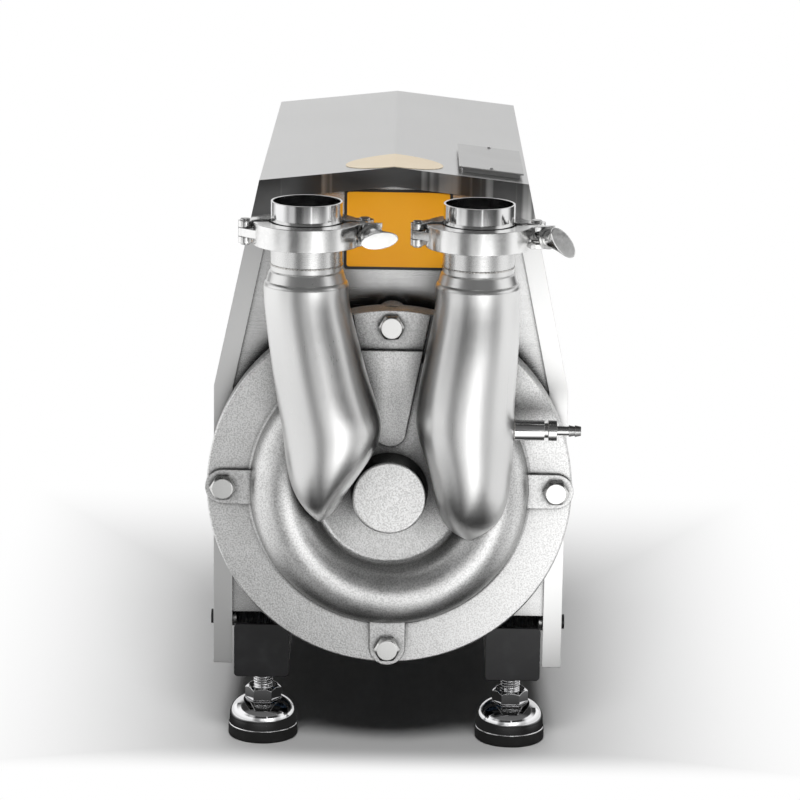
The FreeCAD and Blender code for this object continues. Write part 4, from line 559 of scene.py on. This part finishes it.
class Finishes:
    """Every finish of the machine, made once."""

    def __init__(self) -> None:
        """Make the finishes."""
        pale = (0.76, 0.76, 0.755)
        mid = (0.70, 0.70, 0.695)
        smooth_cast = ((0.84, 0.84, 0.835), (0.78, 0.78, 0.775))
        made = {
            # The castings, the weld bead and the front sheet are darkened with painted shade in their
            # crevices.
            "cast": CastSteel("blasted casting"),
            "clamp_cast": CastSteel(
                "clamp casting", *smooth_cast, 0.2, pit=0.00001, edge=0.0009, shade_reach=0.004, speckle=0.004
            ),
            "nut_cast": CastSteel(
                "wing nut casting", *smooth_cast, 0.18, pit=0.00001, shade_reach=0.003, speckle=0.004
            ),
            "pipe": SatinSteel("satin pipe", Grain.UPRIGHT, pale, mid, 0.31),
            "neck": SatinSteel("brushed neck", Grain.ACROSS, pale, (0.66, 0.66, 0.655), 0.28),
            "bar": SatinSteel("satin bar", Grain.UPRIGHT, roughness=0.2),
            "rail": SatinSteel("satin rail", Grain.ALONG, roughness=0.26),
            "shell": FoldedSheet("folded sheet"),
            "panel": SatinSteel("brushed front sheet", Grain.ACROSS, pale, mid, 0.25, shade_reach=0.07),
            "polish": PolishedSteel("polished tube", roughness=0.1),
            "chrome": PolishedSteel("chromed foot", (0.80, 0.80, 0.81), 0.06, 0.0007),
            "bolt": PolishedSteel("bright bolt", (0.72, 0.72, 0.71), 0.2, 0.0009),
            "bead": CastSteel(
                "weld bead", (0.66, 0.65, 0.63), (0.5, 0.48, 0.46), 0.26, 0.00006, 0.0005, 0.002
            ),
            "rubber": Moulded("black rubber", (0.012, 0.012, 0.012), 0.6),
            "plastic": Moulded("black plastic", (0.010, 0.010, 0.011), 0.36),
            "lapped": Moulded("lapped seal face", (0.02, 0.02, 0.022), 0.2),
            "paint": Painted("motor paint", (0.05, 0.09, 0.15)),
            "core": SatinSteel("machined steel", Grain.ALONG, (0.5, 0.5, 0.5), (0.42, 0.42, 0.42), 0.35),
            "label_field": Printed("orange print", (0.90, 0.36, 0.006), (0.96, 0.44, 0.012)),
            "label_edge": Printed("black print", (0.012, 0.012, 0.012), (0.018, 0.018, 0.018), 0.3),
            "badge": Printed("pale gold sheet", (0.72, 0.60, 0.43), (0.78, 0.68, 0.52), 0.42, 0.5),
            "plate": Printed(
                "bare aluminium plate", (0.66, 0.66, 0.655), (0.58, 0.58, 0.575), 0.34, 0.9
            ),
        }
        self.made = {name: finish.make() for name, finish in made.items()}

    def dress(self, item: bpy.types.Object, name: str) -> None:
        """Give an object one finish in every slot."""
        if not item.data.materials:
            item.data.materials.append(self.made[name])
        for slot in item.material_slots:
            slot.material = self.made[name]


NODE_FINISH = {
    "cast": ["front_cover", "rear_casing", "impeller", "motor_lantern"],
    "clamp_cast": ["inlet_clamp_front", "outlet_clamp_front", "clamp_back_halves"],
    "nut_cast": ["inlet_wing_nut", "outlet_wing_nut"],
    "pipe": ["inlet_pipe", "outlet_pipe"],
    "polish": ["inlet_weld_stub", "outlet_weld_stub", "impeller_nut", "drain_sleeve"],
    "neck": ["lower_ferrules"],
    "bar": ["hose_barb", "pump_shaft", "inlet_swing_bolt", "outlet_swing_bolt", "clamp_pins"],
    "bolt": [
        "cover_bolts",
        "lantern_screws",
        "motor_bolts",
        "inlet_clamp_washer",
        "outlet_clamp_washer",
        "foot_nuts",
    ],
    "rail": ["base_frame"],
    "shell": ["shroud", "rear_panel"],
    "panel": ["front_panel"],
    "rubber": ["cover_seal_ring", "port_gaskets"],
    "plastic": ["rail_end_caps", "cooling_fan", "cable_gland", "shroud_screws"],
    "lapped": ["rotating_seal_ring", "seal_seat"],
    "paint": ["motor_frame", "motor_end_shields", "fan_cowl", "terminal_box", "terminal_box_lid"],
    "core": ["stator", "rotor_core", "motor_shaft", "motor_bearings"],
}
FEET = ("front_left", "front_right", "back_left", "back_right")


class Shape:
    """Mesh building shared by the sub-assemblies."""

    @staticmethod
    def from_bmesh(name: str, shape: bmesh.types.BMesh, smooth: bool = True) -> bpy.types.Object:
        """Turn a bmesh into an object in the scene.

        Args:
            name: The object's name.
            shape: The bmesh, which is freed.
            smooth: Whether its faces are shaded smooth.

        Returns:
            The object.
        """
        bmesh.ops.recalc_face_normals(shape, faces=shape.faces)
        mesh = bpy.data.meshes.new(name)
        shape.to_mesh(mesh)
        shape.free()
        for face in mesh.polygons:
            face.use_smooth = smooth
        item = bpy.data.objects.new(name, mesh)
        bpy.context.scene.collection.objects.link(item)
        return item

    @staticmethod
    def middle(name: str) -> Vector:
        """The middle of a node's box."""
        low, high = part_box(name)
        return (Vector(low) + Vector(high)) / 2

    @staticmethod
    def lathe(name: str, outline: list[Range], at: Vector, steps: int) -> bpy.types.Object:
        """Turn an outline of (radius, height) about a vertical axis.

        Args:
            name: The object's name.
            outline: Points of the section.
            at: Where its axis stands.
            steps: Number of steps round.

        Returns:
            The object.
        """
        shape = bmesh.new()
        rings = []
        for number in range(steps):
            turn = 2 * math.pi * number / steps
            ring = []
            for radius, height in outline:
                spot = Vector((radius * math.cos(turn), radius * math.sin(turn), height))
                ring.append(shape.verts.new(at + spot))
            rings.append(ring)
        for number, ring in enumerate(rings):
            after = rings[(number + 1) % steps]
            for point in range(len(outline) - 1):
                shape.faces.new((ring[point], ring[point + 1], after[point + 1], after[point]))
        return Shape.from_bmesh(name, shape)

    @staticmethod
    def slab(name: str, rim: list[Vector], thickness: Vector, bevel: float = 0.0) -> bpy.types.Object:
        """A flat or folded plate from its rim and its thickness.

        Args:
            name: The object's name.
            rim: Corners of its lower face, in order.
            thickness: The way and distance to its upper face.
            bevel: Width of its edge rounding in metres.

        Returns:
            The object.
        """
        shape = bmesh.new()
        low = [shape.verts.new(corner) for corner in rim]
        high = [shape.verts.new(corner + thickness) for corner in rim]
        shape.faces.new(low)
        shape.faces.new(high)
        for number in range(len(rim)):
            after = (number + 1) % len(rim)
            shape.faces.new((low[number], low[after], high[after], high[number]))
        item = Shape.from_bmesh(name, shape, smooth=False)
        if bevel:
            edge = item.modifiers.new("edge", "BEVEL")
            edge.width = bevel
            edge.segments = 2
        return item


@dataclass
class Base:
    """Shared start of each sub-assembly."""

    finishes: Finishes

    def fit(self, item: bpy.types.Object, finish: str, body: str, slot: str) -> None:
        """Finish a new piece and let it ride on a body.

        Args:
            item: The piece.
            finish: Name of its finish.
            body: The body that carries it.
            slot: Not used.
        """
        self.finishes.dress(item, finish)
        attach(item, body)
        LOG.info("piece %s on %s", item.name, body)


@dataclass
class FrameNodes(Base):
    """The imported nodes, which keep their shapes and get their finishes."""

    def build(self, nodes: dict[str, bpy.types.Object]) -> None:
        """Dress every node of the frame."""
        for finish, names in NODE_FINISH.items():
            for name in names:
                self.finishes.dress(nodes[name], finish)
        for foot in FEET:
            self.finishes.dress(nodes[foot + "_foot_cup"], "chrome")
            self.finishes.dress(nodes[foot + "_foot_pad"], "rubber")
            self.finishes.dress(nodes[foot + "_foot_stud"], "chrome")
        for name in nodes:
            LOG.info("node %s", name)


@dataclass
class FrontLabel(Base):
    """The bare orange plate with its black border on the front panel."""

    left: float = -36 * MM
    right: float = 43 * MM
    bottom: float = 369 * MM
    top: float = 428.5 * MM
    border: float = 2.0 * MM
    corner: float = 2.5 * MM
    least_corner: float = 0.8 * MM
    corner_share: float = 0.4
    corner_steps: int = 6
    thickness: float = 0.3 * MM
    print_thickness: float = 0.06 * MM

    def rim(self, inset: float, face: float) -> list[Vector]:
        """Corners of a rounded rectangle on the panel.

        Args:
            inset: How far it is drawn in from the plate's edge.
            face: Where it lies along the machine.

        Returns:
            Its points in order.
        """
        radius = max(self.corner - inset * self.corner_share, self.least_corner)
        points = []
        for across, up, start in (
            (self.right - inset - radius, self.top - inset - radius, 0),
            (self.left + inset + radius, self.top - inset - radius, 90),
            (self.left + inset + radius, self.bottom + inset + radius, 180),
            (self.right - inset - radius, self.bottom + inset + radius, 270),
        ):
            for step in range(self.corner_steps + 1):
                turn = math.radians(start + 90 * step / self.corner_steps)
                points.append(
                    Vector((across + radius * math.cos(turn), face, up + radius * math.sin(turn)))
                )
        return points

    def build(self) -> None:
        """Make the border and the field."""
        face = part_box("front_panel")[0][1]
        edge = Shape.slab("label_border", self.rim(0.0, face), Vector((0, -self.thickness, 0)))
        self.fit(edge, "label_edge", "machine", "black_plastic")
        inner = self.rim(self.border, face - self.thickness)
        field = Shape.slab("label_field", inner, Vector((0, -self.print_thickness, 0)))
        self.fit(field, "label_field", "machine", "seal_rubber")


@dataclass
class RoofPlates(Base):
    """The oval badge over the ridge and the raised plate on the right slope, both bare."""

    roof_half: float = 98.3 * MM
    roof_fall: float = 11 * MM
    badge_half_across: float = 36 * MM
    badge_half_along: float = 29 * MM
    badge_gap: float = 2 * MM
    badge_thickness: float = 0.4 * MM
    badge_rows: int = 40
    merge: float = 0.001 * MM
    plate_left: float = 47.5 * MM
    plate_right: float = 95 * MM
    plate_front: float = 17 * MM
    plate_long: float = 104 * MM
    plate_lift: float = 3.2 * MM
    plate_thickness: float = 1.2 * MM
    plate_edge: float = 0.3 * MM
    pad_inset: float = 2.5 * MM
    rivet: float = 1.7 * MM
    rivet_high: float = 1.0 * MM
    rivet_tip: float = 0.02 * MM
    rivet_inset: float = 4 * MM
    rivet_steps: int = 24
    dome: tuple[Range, ...] = ((0.55, 0.85), (0.88, 0.5))

    def roof(self, across: float) -> float:
        """Height of the roof at a distance from the middle."""
        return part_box("shroud")[1][2] - self.roof_fall * abs(across) / self.roof_half

    def build(self) -> None:
        """Make the badge, the plate and its two rivets."""
        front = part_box("shroud")[0][1]
        self.badge(front)
        self.plate(front)

    def badge(self, front: float) -> None:
        """The oval badge, folded along the ridge."""
        middle = front + self.badge_gap + self.badge_half_along
        shape = bmesh.new()
        rows = []
        for number in range(self.badge_rows + 1):
            share = -1 + 2 * number / self.badge_rows
            across = self.badge_half_across * math.sin(share * math.pi / 2)
            reach = self.badge_half_along * math.cos(share * math.pi / 2)
            height = self.roof(across)
            row = []
            for side in (-1, 1):
                for lift in (0.0, self.badge_thickness):
                    spot = Vector((across, middle + side * reach, height + lift))
                    row.append(shape.verts.new(spot))
            rows.append(row)
        for first, second in zip(rows, rows[1:]):
            shape.faces.new((first[0], first[2], second[2], second[0]))
            shape.faces.new((first[1], second[1], second[3], first[3]))
            shape.faces.new((first[0], second[0], second[1], first[1]))
            shape.faces.new((first[2], first[3], second[3], second[2]))
        bmesh.ops.remove_doubles(shape, verts=shape.verts, dist=self.merge)
        item = Shape.from_bmesh("roof_badge", shape, smooth=False)
        self.fit(item, "badge", "machine", "satin_stainless")

    def corners(self, near: float, far: float, inset: float, lift: float) -> list[Vector]:
        """Corners on the right slope.

        Args:
            near: The plate's front edge.
            far: The plate's back edge.
            inset: How far they are drawn in from the plate's edges.
            lift: How far they stand off the roof.

        Returns:
            The four corners in order.
        """
        return [
            Vector((across, along, self.roof(across) + lift))
            for across, along in (
                (self.plate_left + inset, near + inset),
                (self.plate_right - inset, near + inset),
                (self.plate_right - inset, far - inset),
                (self.plate_left + inset, far - inset),
            )
        ]

    def plate(self, front: float) -> None:
        """The raised plate on its pad, with a rivet at each end."""
        near = front + self.plate_front
        far = near + self.plate_long
        for name, inset, lift, thickness in (
            ("roof_plate", 0.0, self.plate_lift, self.plate_thickness),
            ("roof_plate_pad", self.pad_inset, 0.0, self.plate_lift),
        ):
            rim = self.corners(near, far, inset, lift)
            item = Shape.slab(name, rim, Vector((0, 0, thickness)), self.plate_edge)
            self.fit(item, "plate", "machine", "satin_stainless")
        middle = (self.plate_left + self.plate_right) / 2
        level = self.roof(middle) + self.plate_lift + self.plate_thickness
        outline = [(self.rivet_tip, self.rivet_high)]
        outline += [(self.rivet * out, self.rivet_high * up) for out, up in self.dome]
        outline.append((self.rivet, 0.0))
        for number, along in enumerate((near + self.rivet_inset, far - self.rivet_inset), start=1):
            at = Vector((middle, along, level))
            head = Shape.lathe("roof_rivet_%d" % number, outline, at, self.rivet_steps)
            self.fit(head, "plate", "machine", "fastener_steel")


@dataclass
class Welds(Base):
    """Weld beads round the two necks and the drain sleeve."""

    radius: float = 0.7 * MM
    tube_radius: float = 25.4 * MM
    drain_radius: float = 7.4 * MM
    drain_inset: float = 2.2 * MM
    steps: int = 220
    around: int = 8
    ripples: int = 61
    ripple_share: float = 0.10
    sways: int = 17
    sway_share: float = 0.05

    def ring(self, name: str, centre: Vector, round_radius: float, way: Matrix) -> None:
        """One bead: a thin ring with a slightly uneven section.

        Args:
            name: The piece's name.
            centre: Its middle.
            round_radius: Radius of the tube that it goes round.
            way: Turn from the upright axis to the tube's axis.
        """
        shape = bmesh.new()
        rings = []
        for number in range(self.steps):
            turn = 2 * math.pi * number / self.steps
            ripple = self.ripple_share * math.sin(turn * self.ripples)
            sway = self.sway_share * math.sin(turn * self.sways + 1)
            bead = self.radius * (1 + ripple + sway)
            ring = []
            for part in range(self.around):
                tilt = 2 * math.pi * part / self.around
                reach = round_radius + bead * math.cos(tilt)
                spot = Vector((reach * math.cos(turn), reach * math.sin(turn), bead * math.sin(tilt)))
                ring.append(shape.verts.new(centre + way @ spot))
            rings.append(ring)
        for number, ring in enumerate(rings):
            after = rings[(number + 1) % self.steps]
            for part in range(self.around):
                other = (part + 1) % self.around
                shape.faces.new((ring[part], ring[other], after[other], after[part]))
        self.fit(Shape.from_bmesh(name, shape), "bead", "machine", "satin_stainless")

    def build(self) -> None:
        """Make the beads."""
        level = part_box("lower_ferrules")[0][2]
        upright = Matrix.Identity(3)
        for name in ("inlet", "outlet"):
            stub = Shape.middle(name + "_weld_stub")
            self.ring(name + "_neck_weld", Vector((stub.x, stub.y, level)), self.tube_radius, upright)
        sleeve = Shape.middle("drain_sleeve")
        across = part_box("drain_sleeve")[0][0] + self.drain_inset
        sideways = Matrix.Rotation(math.pi / 2, 3, "Y")
        self.ring("drain_weld", Vector((across, sleeve.y, sleeve.z)), self.drain_radius, sideways)


@dataclass
class Threads(Base):
    """The cut threads that show on the levelling studs."""

    depth: float = 0.5 * MM
    sunk: float = 0.05 * MM
    stud_radius: float = 7.0 * MM
    pitch: float = 2.0 * MM
    above_cup: float = 11 * MM
    below_nut: float = 0.5 * MM
    per_turn: int = 28
    profile: tuple[Range, ...] = ((-0.42, 0.0), (-0.1, 1.0), (0.1, 1.0), (0.42, 0.0))

    def helix(self, name: str, start: Vector, length: float) -> bpy.types.Object:
        """A thread ridge wound up a stud.

        Args:
            name: The object's name.
            start: Where the thread begins on the stud's axis.
            length: How far it runs.

        Returns:
            The object.
        """
        shape = bmesh.new()
        count = int(length / self.pitch * self.per_turn)
        aim = Vector((0, 0, 1)).to_track_quat("Z", "Y").to_matrix()
        rows = []
        for number in range(count + 1):
            turn = 2 * math.pi * number / self.per_turn
            along = self.pitch * number / self.per_turn
            fade = min(1.0, number / self.per_turn, (count - number) / self.per_turn)
            row = []
            for side, reach in self.profile:
                out = self.stud_radius - self.sunk + self.depth * reach * fade
                height = along + side * self.pitch
                spot = Vector((out * math.cos(turn), out * math.sin(turn), height))
                row.append(shape.verts.new(start + aim @ spot))
            rows.append(row)
        for first, second in zip(rows, rows[1:]):
            for part in range(len(self.profile) - 1):
                shape.faces.new((first[part], first[part + 1], second[part + 1], second[part]))
        return Shape.from_bmesh(name, shape, smooth=False)

    def build(self) -> None:
        """Make the threads of the four studs."""
        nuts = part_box("foot_nuts")[0][2]
        for foot in FEET:
            stud = Shape.middle(foot + "_foot_stud")
            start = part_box(foot + "_foot_cup")[1][2] + self.above_cup
            at = Vector((stud.x, stud.y, start))
            item = self.helix(foot + "_stud_thread", at, nuts - start - self.below_nut)
            self.fit(item, "chrome", foot + "_stud", "foot_chrome")


@dataclass
class FootTrims(Base):
    """The thin bright lip of each foot cup over its rubber pad."""

    profile: tuple[Range, ...] = ((-2.0, 0.2), (-0.5, -0.1), (-0.1, 0.3), (-0.1, 0.9), (-0.5, 1.3))
    steps: int = 96

    def build(self) -> None:
        """Make one lip for each foot, its profile in millimetres from the pad's rim and the cup's foot."""
        for foot in FEET:
            low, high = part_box(foot + "_foot_pad")
            pad = Shape.middle(foot + "_foot_pad")
            radius = (high[0] - low[0]) / 2
            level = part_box(foot + "_foot_cup")[0][2]
            outline = [(radius + out * MM, level + up * MM) for out, up in self.profile]
            lip = Shape.lathe(foot + "_cup_lip", outline, Vector((pad.x, pad.y, 0.0)), self.steps)
            self.fit(lip, "chrome", foot + "_foot", "foot_chrome")


@dataclass
class Knurl(Base):
    """The knurled ring of the hose barb."""

    count: int = 44
    near: float = 113.9 * MM
    far: float = 120.0 * MM
    radius: float = 7.3 * MM
    height: float = 0.1 * MM
    run_out: float = 0.4 * MM
    tooth: float = 0.62
    crest: float = 0.45

    def build(self) -> None:
        """Make the ridges round the ring."""
        barb = Shape.middle("hose_barb")
        half = math.pi / self.count * self.tooth
        shape = bmesh.new()
        for number in range(self.count):
            turn = 2 * math.pi * number / self.count
            corners = []
            for along, rise, width in (
                (self.near + self.run_out, 0.0, 1.0),
                (self.near + 2 * self.run_out, self.height, self.crest),
                (self.far - 2 * self.run_out, self.height, self.crest),
                (self.far - self.run_out, 0.0, 1.0),
            ):
                for side in (-1, 1):
                    angle = turn + side * half * width
                    out = self.radius + rise
                    spot = (along, barb.y + out * math.cos(angle), barb.z + out * math.sin(angle))
                    corners.append(shape.verts.new(spot))
            for first in (0, 2, 4):
                shape.faces.new(
                    (corners[first], corners[first + 1], corners[first + 3], corners[first + 2])
                )
        item = Shape.from_bmesh("barb_knurl", shape, smooth=False)
        self.fit(item, "bar", "machine", "satin_stainless")


@dataclass(frozen=True)
class Band:
    """One soft band of light or shade round the machine, by its bearing from the camera's side."""

    middle: float
    half: float
    level: float
    outer: float = 1.3
    inner: float = 0.3


@dataclass(frozen=True)
class Lamp:
    """One soft rectangular lamp that is aimed at the machine."""

    name: str
    place: tuple[float, float, float]
    size: Range
    power: float


@dataclass
class Studio:
    """Floor, surroundings, lamps and the camera of the photograph."""

    focal: float = 144.0
    sensor: float = 36.0
    farthest: float = 60.0
    pitch: float = 13.7
    yaw: float = -0.1
    roll: float = 0.9
    eye: tuple[float, float, float] = (10.8 * MM, -2443 * MM, 832 * MM)
    floor_half: float = 14.0
    floor_deep: float = 0.02
    floor_colour: Colour = (0.66, 0.66, 0.66)
    wall_radius: float = 0.8
    wall_height: float = 0.5
    wall_turn: float = 140.0
    wall_centre: float = -0.2
    wall_steps: int = 96
    low_bands: tuple[Band, ...] = (
        Band(-105.0, 38.0, 0.05),
        Band(-27.0, 15.0, -0.7),
        Band(20.0, 17.0, 1.1),
        Band(55.0, 14.0, -0.35),
    )
    high_bands: tuple[Band, ...] = (
        Band(-95.0, 35.0, 1.15),
        Band(-48.0, 12.0, 0.55),
        Band(12.0, 2.5, 0.9),
        Band(86.0, 26.0, 1.0),
    )
    low_base: float = 1.0
    high_base: float = 0.05
    brightest: float = 2.5
    split: Range = (0.262, 0.285)
    foot_range: Range = (-0.05, 0.2)
    foot_least: float = 0.75
    foot_swing: float = 0.4
    aside_range: Range = (0.15, 0.36)
    ahead_range: Range = (-0.145, -0.205)
    behind_range: Range = (0.25, 0.6)
    # Painted shadow under the machine, seen in the floor's reflections.
    painted_shadow_half: float = 0.15
    painted_shadow_front: float = 0.17
    painted_shadow_share: float = 0.5
    painted_shadow_range: Range = (0.0, 0.2)
    painted_shadow_least: float = 0.02
    painted_shadow_swing: float = 0.95
    ceiling: Range = (0.66, 0.36)
    room_side: Range = (0.72, 0.92)
    room_back: Range = (-0.1, 0.35)
    room_right: Range = (-0.15, 0.2)
    room_front: Range = (0.0, -0.35)
    front_foot: Range = (0.12, 0.4)
    front_top: Range = (0.98, 0.8)
    sky: Range = (0.55, 1.0)
    side_light: float = 1.1
    back_light: float = 0.78
    back_drop: float = 0.1
    wall_light: float = 0.08
    least_light: float = 0.04
    soft_light: float = 0.3
    front_light: float = 0.1
    aim_height: float = 0.15
    lamp_list: tuple[Lamp, ...] = (
        Lamp("overhead", (0.0, -0.15, 2.3), (1.4, 1.1), 36.0),
        Lamp("front_fill", (0.0, -1.9, 2.3), (1.2, 0.6), 46.0),
    )

    def build(self) -> None:
        """Set up the scene round the machine."""
        self.camera()
        self.floor()
        self.wall()
        self.world()
        self.lamps()
        bpy.context.scene.view_settings.view_transform = "Standard"

    def camera(self) -> None:
        """The photograph's camera."""
        data = bpy.data.cameras.new("camera")
        data.lens = self.focal
        data.sensor_width = self.sensor
        data.clip_end = self.farthest
        item = bpy.data.objects.new("camera", data)
        bpy.context.scene.collection.objects.link(item)
        turn = (
            Matrix.Rotation(math.radians(-self.yaw), 4, "Z")
            @ Matrix.Rotation(math.radians(90 - self.pitch), 4, "X")
            @ Matrix.Rotation(math.radians(self.roll), 4, "Z")
        )
        item.matrix_world = Matrix.Translation(Vector(self.eye)) @ turn
        bpy.context.scene.camera = item

    def floor(self) -> None:
        """A plain pale floor that turns to white away from the machine; in reflections it glows with
        painted bands of light, with a painted shadow beneath the machine.
        """
        half = self.floor_half
        rim = [Vector((x, y, 0.0)) for x, y in ((-half, -half), (half, -half), (half, half), (-half, half))]
        item = Shape.slab("floor", rim, Vector((0, 0, -self.floor_deep)))
        paint = Paint("pale floor")
        paint.set(Base_Color=(*self.floor_colour, 1.0), Roughness=1.0, Specular_IOR_Level=0.0)
        ray = paint.node("ShaderNodeLightPath")
        seen = paint.value(ray, "Is Camera Ray")
        across, along, _ = paint.axes()
        aside = across.maths("ABSOLUTE").ramp(*self.aside_range)
        ahead = along.ramp(*self.ahead_range)
        behind = along.ramp(*self.behind_range)
        share = aside.maths("MAXIMUM", ahead).maths("MAXIMUM", behind)
        white = paint.glow((1.0, 1.0, 1.0, 1.0))
        plain = paint.choose(seen * share, paint.shader.outputs["BSDF"], white)
        # Painted shadow: reflections see the floor dark beneath the machine.
        beside = (across.maths("ABSOLUTE") - self.painted_shadow_half).held_above(0.0)
        before = ((along + self.painted_shadow_front) * -1.0).held_above(0.0)
        clear = beside.maths("MAXIMUM", before * self.painted_shadow_share).ramp(*self.painted_shadow_range)
        # Painted reflection: the floor glows in bands for glossy rays.
        level = self.bands(self.bearing(across, along), self.low_base, self.low_bands)
        level = level * (clear * self.painted_shadow_swing + self.painted_shadow_least)
        lit = paint.glow(paint.grey(level, self.brightest))
        either = paint.choose(paint.value(ray, "Is Glossy Ray"), plain, lit)
        paint.tree.links.new(either, paint.output.inputs["Surface"])
        item.data.materials.append(paint.material)

    def bearing(self, across: Wire, along: Wire) -> Wire:
        """The bearing of a place from the glowing wall's centre, 0 towards the camera."""
        return across.maths("ARCTAN2", (along - self.wall_centre) * -1.0)

    def bands(self, bearing: Wire, base: float, bands: tuple[Band, ...]) -> Wire:
        """The level of a ring of soft bands at a bearing."""
        level = bearing * 0.0 + base
        for band in bands:
            away = (bearing - math.radians(band.middle)).maths("ABSOLUTE")
            bump = away.ramp(math.radians(band.half * band.outer), math.radians(band.half * band.inner))
            level = level + bump * band.level
        return level.held_above(0.0)

    def wall(self) -> None:
        """A curved glowing wall in front, seen in the metal's reflections alone: a painted reflection of
        light and dark bands.
        """
        shape = bmesh.new()
        rows = []
        for number in range(self.wall_steps + 1):
            turn = math.radians(self.wall_turn * (-1 + 2 * number / self.wall_steps))
            across = self.wall_radius * math.sin(turn)
            along = self.wall_centre - self.wall_radius * math.cos(turn)
            foot = Vector((across, along, 0.0))
            rows.append([shape.verts.new(foot), shape.verts.new(foot + Vector((0, 0, self.wall_height)))])
        for first, second in zip(rows, rows[1:]):
            shape.faces.new((first[0], second[0], second[1], first[1]))
        item = Shape.from_bmesh("painted_reflection_wall", shape)
        paint = Paint("painted_reflection_wall")
        across, along, up = paint.axes()
        bearing = self.bearing(across, along)
        low = self.bands(bearing, self.low_base, self.low_bands)
        # Painted shade: the glow dims towards the wall's foot.
        low = low * (up.ramp(*self.foot_range) * self.foot_swing + self.foot_least)
        high = self.bands(bearing, self.high_base, self.high_bands)
        rise = up.ramp(*self.split)
        level = low * (1.0 - rise) + high * rise
        paint.set(
            Base_Color=(0.0, 0.0, 0.0, 1.0),
            Specular_IOR_Level=0.0,
            Emission_Color=paint.grey(level, self.brightest),
            Emission_Strength=1.0,
        )
        item.data.materials.append(paint.material)
        item.visible_camera = False
        item.visible_diffuse = False
        item.visible_shadow = False

    def world(self) -> None:
        """White for the camera, and a soft room with a dark ceiling for the metal."""
        world = bpy.data.worlds.new("studio")
        world.use_nodes = True
        bpy.context.scene.world = world
        nodes = Nodes(world.node_tree, "Generated")
        across, along, up = nodes.axes()
        side = across.maths("ABSOLUTE").ramp(*self.room_side) * self.side_light
        back = self.back_light - self.back_drop * across.ramp(*self.room_right)
        back = along.ramp(*self.room_back) * back
        front = along.ramp(*self.room_front) * up.ramp(*self.front_foot) * up.ramp(*self.front_top)
        room = up.ramp(*self.ceiling) * (self.wall_light + side.maths("MAXIMUM", back))
        room = room + front * self.front_light + self.least_light
        ray = nodes.node("ShaderNodeLightPath")
        glossy = nodes.value(ray, "Is Glossy Ray")
        camera = nodes.value(ray, "Is Camera Ray")
        soft = up.ramp(*self.sky) * self.soft_light
        level = glossy * room + (1.0 - glossy) * soft
        level = camera + (1.0 - camera) * level
        light = nodes.node("ShaderNodeBackground", {}, {"Color": nodes.grey(level, self.brightest)})
        nodes.node("ShaderNodeOutputWorld", {}, {"Surface": light.outputs["Background"]})

    def lamps(self) -> None:
        """A soft lamp overhead for the floor and its shadow, and a soft fill in front."""
        for lamp in self.lamp_list:
            data = bpy.data.lights.new(lamp.name, "AREA")
            data.shape = "RECTANGLE"
            data.size = lamp.size[0]
            data.size_y = lamp.size[1]
            data.energy = lamp.power
            item = bpy.data.objects.new(lamp.name, data)
            bpy.context.scene.collection.objects.link(item)
            spot = Vector(lamp.place)
            aim = Vector((0.0, 0.0, self.aim_height)) - spot
            turn = aim.to_track_quat("-Z", "Y").to_matrix().to_4x4()
            item.matrix_world = Matrix.Translation(spot) @ turn
            item.visible_glossy = False


def main() -> None:
    """Build the looks in order."""
    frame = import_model()
    finishes = Finishes()
    FrameNodes(finishes).build(frame["nodes"])
    FrontLabel(finishes).build()
    RoofPlates(finishes).build()
    Welds(finishes).build()
    Threads(finishes).build()
    FootTrims(finishes).build()
    Knurl(finishes).build()
    Studio().build()


if __name__ == "__main__":
    main()
